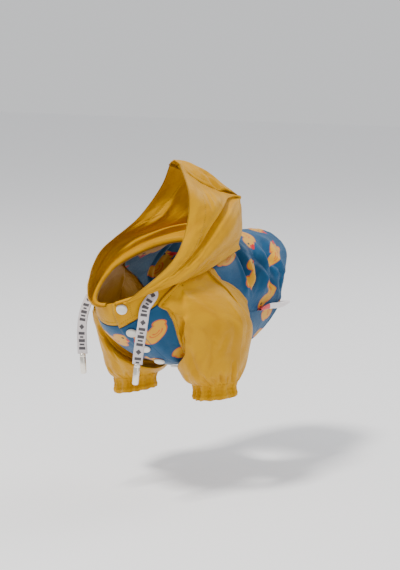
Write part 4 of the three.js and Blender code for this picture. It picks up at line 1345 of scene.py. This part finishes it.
def tape_material():
    look, tree, shader = new_material("woven tape")
    do = partial(calc, tree)
    place = node(tree, "ShaderNodeUVMap", uv_map="cloth").outputs[0]
    parts = node(tree, "ShaderNodeSeparateXYZ", {0: place}).outputs
    x, y = (do("MULTIPLY", part, 1 / MM) for part in parts[:2])
    from_middle = do("ABSOLUTE", x)
    cycle = do("FLOORED_MODULO", y, MARKS_REPEAT)
    marks = 0.0
    for centre, half, reach in TAPE_MARKS:
        off = do("ABSOLUTE", do("SUBTRACT", cycle, centre))
        bar = do("MULTIPLY", do("LESS_THAN", off, half), do("LESS_THAN", from_middle, reach))
        marks = do("MAXIMUM", marks, bar)
    off = do("ABSOLUTE", do("SUBTRACT", cycle, DIAMOND["at"]))
    diamond = do("LESS_THAN", do("ADD", off, from_middle), DIAMOND["reach"])
    marks = do("MAXIMUM", marks, diamond)
    ribs = do("SINE", do("MULTIPLY", y, 9.0))
    cross = do("MULTIPLY", do("SINE", do("MULTIPLY", x, 9.0)), ribs)
    inked = do("MULTIPLY", marks, 0.93)
    colour = blend_colour(tree, inked, (0.52, 0.475, 0.48, 1), (0.015, 0.013, 0.018, 1))
    tree.links.new(colour, shader.inputs["Base Color"])
    bump = node(tree, "ShaderNodeBump", {"Height": cross, "Strength": 0.35, "Distance": 0.0002})
    tree.links.new(bump.outputs[0], shader.inputs["Normal"])
    shader.inputs["Roughness"].default_value = 0.75
    return look


TAPE_MARKS = [(2.6, 1.5, 3.4), (6.6, 1.0, 2.6), (10.6, 1.6, 3.4), (14.4, 0.9, 1.9), (18.2, 1.5, 3.4)]
TAPE_LOOK = tape_material()
print("tape marks repeat each 30 mm:", len(TAPE_MARKS), "bars and a diamond")

# %% Free ends of the drawstring
TAPE = {"width": 10.4, "thick": 1.0, "exit_at": 0.03}
TAPES = {
    "left": {
        "exit": (134, 3.6),
        "top": -0.008,
        "facing": (0.86, 0.51, 0),
        "route": [
            (35, -126.5, -52), (34, -129, -66), (33, -131, -79), (31.5, -133.4, -96), (30.6, -134.6, -109),
        ],
    },
    "right": {
        "exit": (-128, 5.2),
        "top": None,
        "facing": (0.95, 0.31, 0),
        "route": [
            (-44.5, -122.5, -58), (-45.6, -126.4, -70), (-46, -128, -83), (-45.6, -128.2, -97),
            (-45.2, -128, -108),
        ],
    },
}


def tape_grid(plan, rows=110, cols=9):
    """The tape's outer face: its middle line, and rows across it that twist a little."""
    turn, lift = plan["exit"]
    if plan["top"] is None:
        tucked = [trunk_point(TAPE["exit_at"], turn, lift)]
    else:
        tucked = [trunk_point(plan["top"], turn, 1.5), trunk_point(TAPE["exit_at"], turn, lift - 1.2)]
    line = smooth_curve(np.array([[*tucked, *plan["route"]]], float), np.linspace(0, 1, rows))[:, 0]
    t = np.linspace(0, 1, rows)[:, None]
    tangent = unit(np.gradient(line, axis=0))
    facing = unit(np.array(plan["facing"]))
    inward = unit(np.cross(facing, tangent))
    twist = 0.10 * np.sin(5 * t + facing[1] * 9)
    leaning = facing + inward * twist
    across = unit(leaning - tangent * dot(leaning, tangent)[:, None])
    place = np.linspace(-0.5, 0.5, cols) * TAPE["width"]
    cup = 0.35 * np.cos(np.linspace(-1, 1, cols) * math.pi / 2) * np.sin(4 * t + 1)
    grid = line[:, None] + across[:, None] * place[None, :, None] + inward[:, None] * cup[..., None]
    return line, grid, tangent[-1]


for word, plan in TAPES.items():
    line, grid, down = tape_grid(plan)
    tape = cloth(f"tape_{word}", grid, TAPE_LOOK, outward=TRUNK_MIDDLE, wall=TAPE["thick"],
                 straight=True)
    tip = placed(tip_model, f"tip_{word}_metal", line[-1] - down * 0.5, down, TIP_METAL)
    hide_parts(f"drawstring_{word}")
    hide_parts(f"tip_{word}")
    for piece, kind in ((tape, "tape"), (tip, "tip_metal")):
        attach(piece, "root")
bpy.data.objects.remove(tip_model)

# %% [markdown]
# A folded ribbon is caught in the left side seam as a label. It is white, with a red end.

# %% The side label
LABEL = {
    "from": 0.75, "to": 1.0, "seat": 0.35, "narrow": 5, "wide": 11, "sag": 3.5, "gap": 5.6,
    "cut": (0.024, 0.05),
}


def label_points(rows=60, cols=41):
    s = np.linspace(0, 1, rows)[:, None]
    q = np.linspace(-1, 1, cols)[None, :]
    w = 1 - np.abs(q) ** 1.6
    at = mix(LABEL["from"], LABEL["to"], s) + 0 * q
    depth = mix(LABEL["narrow"], LABEL["wide"], s ** 0.7)
    points = trunk_point(at, SIDE_SEAM_TURN + 0 * at, mix(LABEL["seat"], depth, w))
    open_at = np.sign(q) * np.sin(math.pi * np.abs(q) ** 0.5)
    layer = LABEL["gap"] * open_at * (0.3 + 0.7 * np.sin(math.pi * s) ** 0.6) * 0.5
    points[..., 2] += LABEL["sag"] * np.sin(2 * math.pi * s) * w * w * 0.4 + w * 2 + layer
    return points


def label_material():
    look, tree, shader = new_material("label ribbon")
    do = partial(calc, tree)
    place = node(tree, "ShaderNodeUVMap", uv_map="cloth").outputs[0]
    run = do("MULTIPLY", node(tree, "ShaderNodeSeparateXYZ", {0: place}).outputs[1], -1000.0)
    red = do("SUBTRACT", 1.0, soft_step(tree, run, 15.0, 16.0))
    colour = blend_colour(tree, red, (0.80, 0.74, 0.74, 1), (0.62, 0.02, 0.03, 1))
    tree.links.new(colour, shader.inputs["Base Color"])
    ribs = do("SINE", do("MULTIPLY", run, 14.0))
    bump = node(tree, "ShaderNodeBump", {"Height": ribs, "Strength": 0.15, "Distance": 0.0001})
    tree.links.new(bump.outputs[0], shader.inputs["Normal"])
    shader.inputs["Roughness"].default_value = 0.45
    shader.inputs["Sheen Weight"].default_value = 0.3
    return look


label = cloth("label_ribbon", label_points(), label_material(), outward=(60, 60, -200), wall=0.3)
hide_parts("side_label")
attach(label, "root")
print("label ribbon cut", LABEL["cut"], "m, measured", round(cut_area(label), 5), "m2")
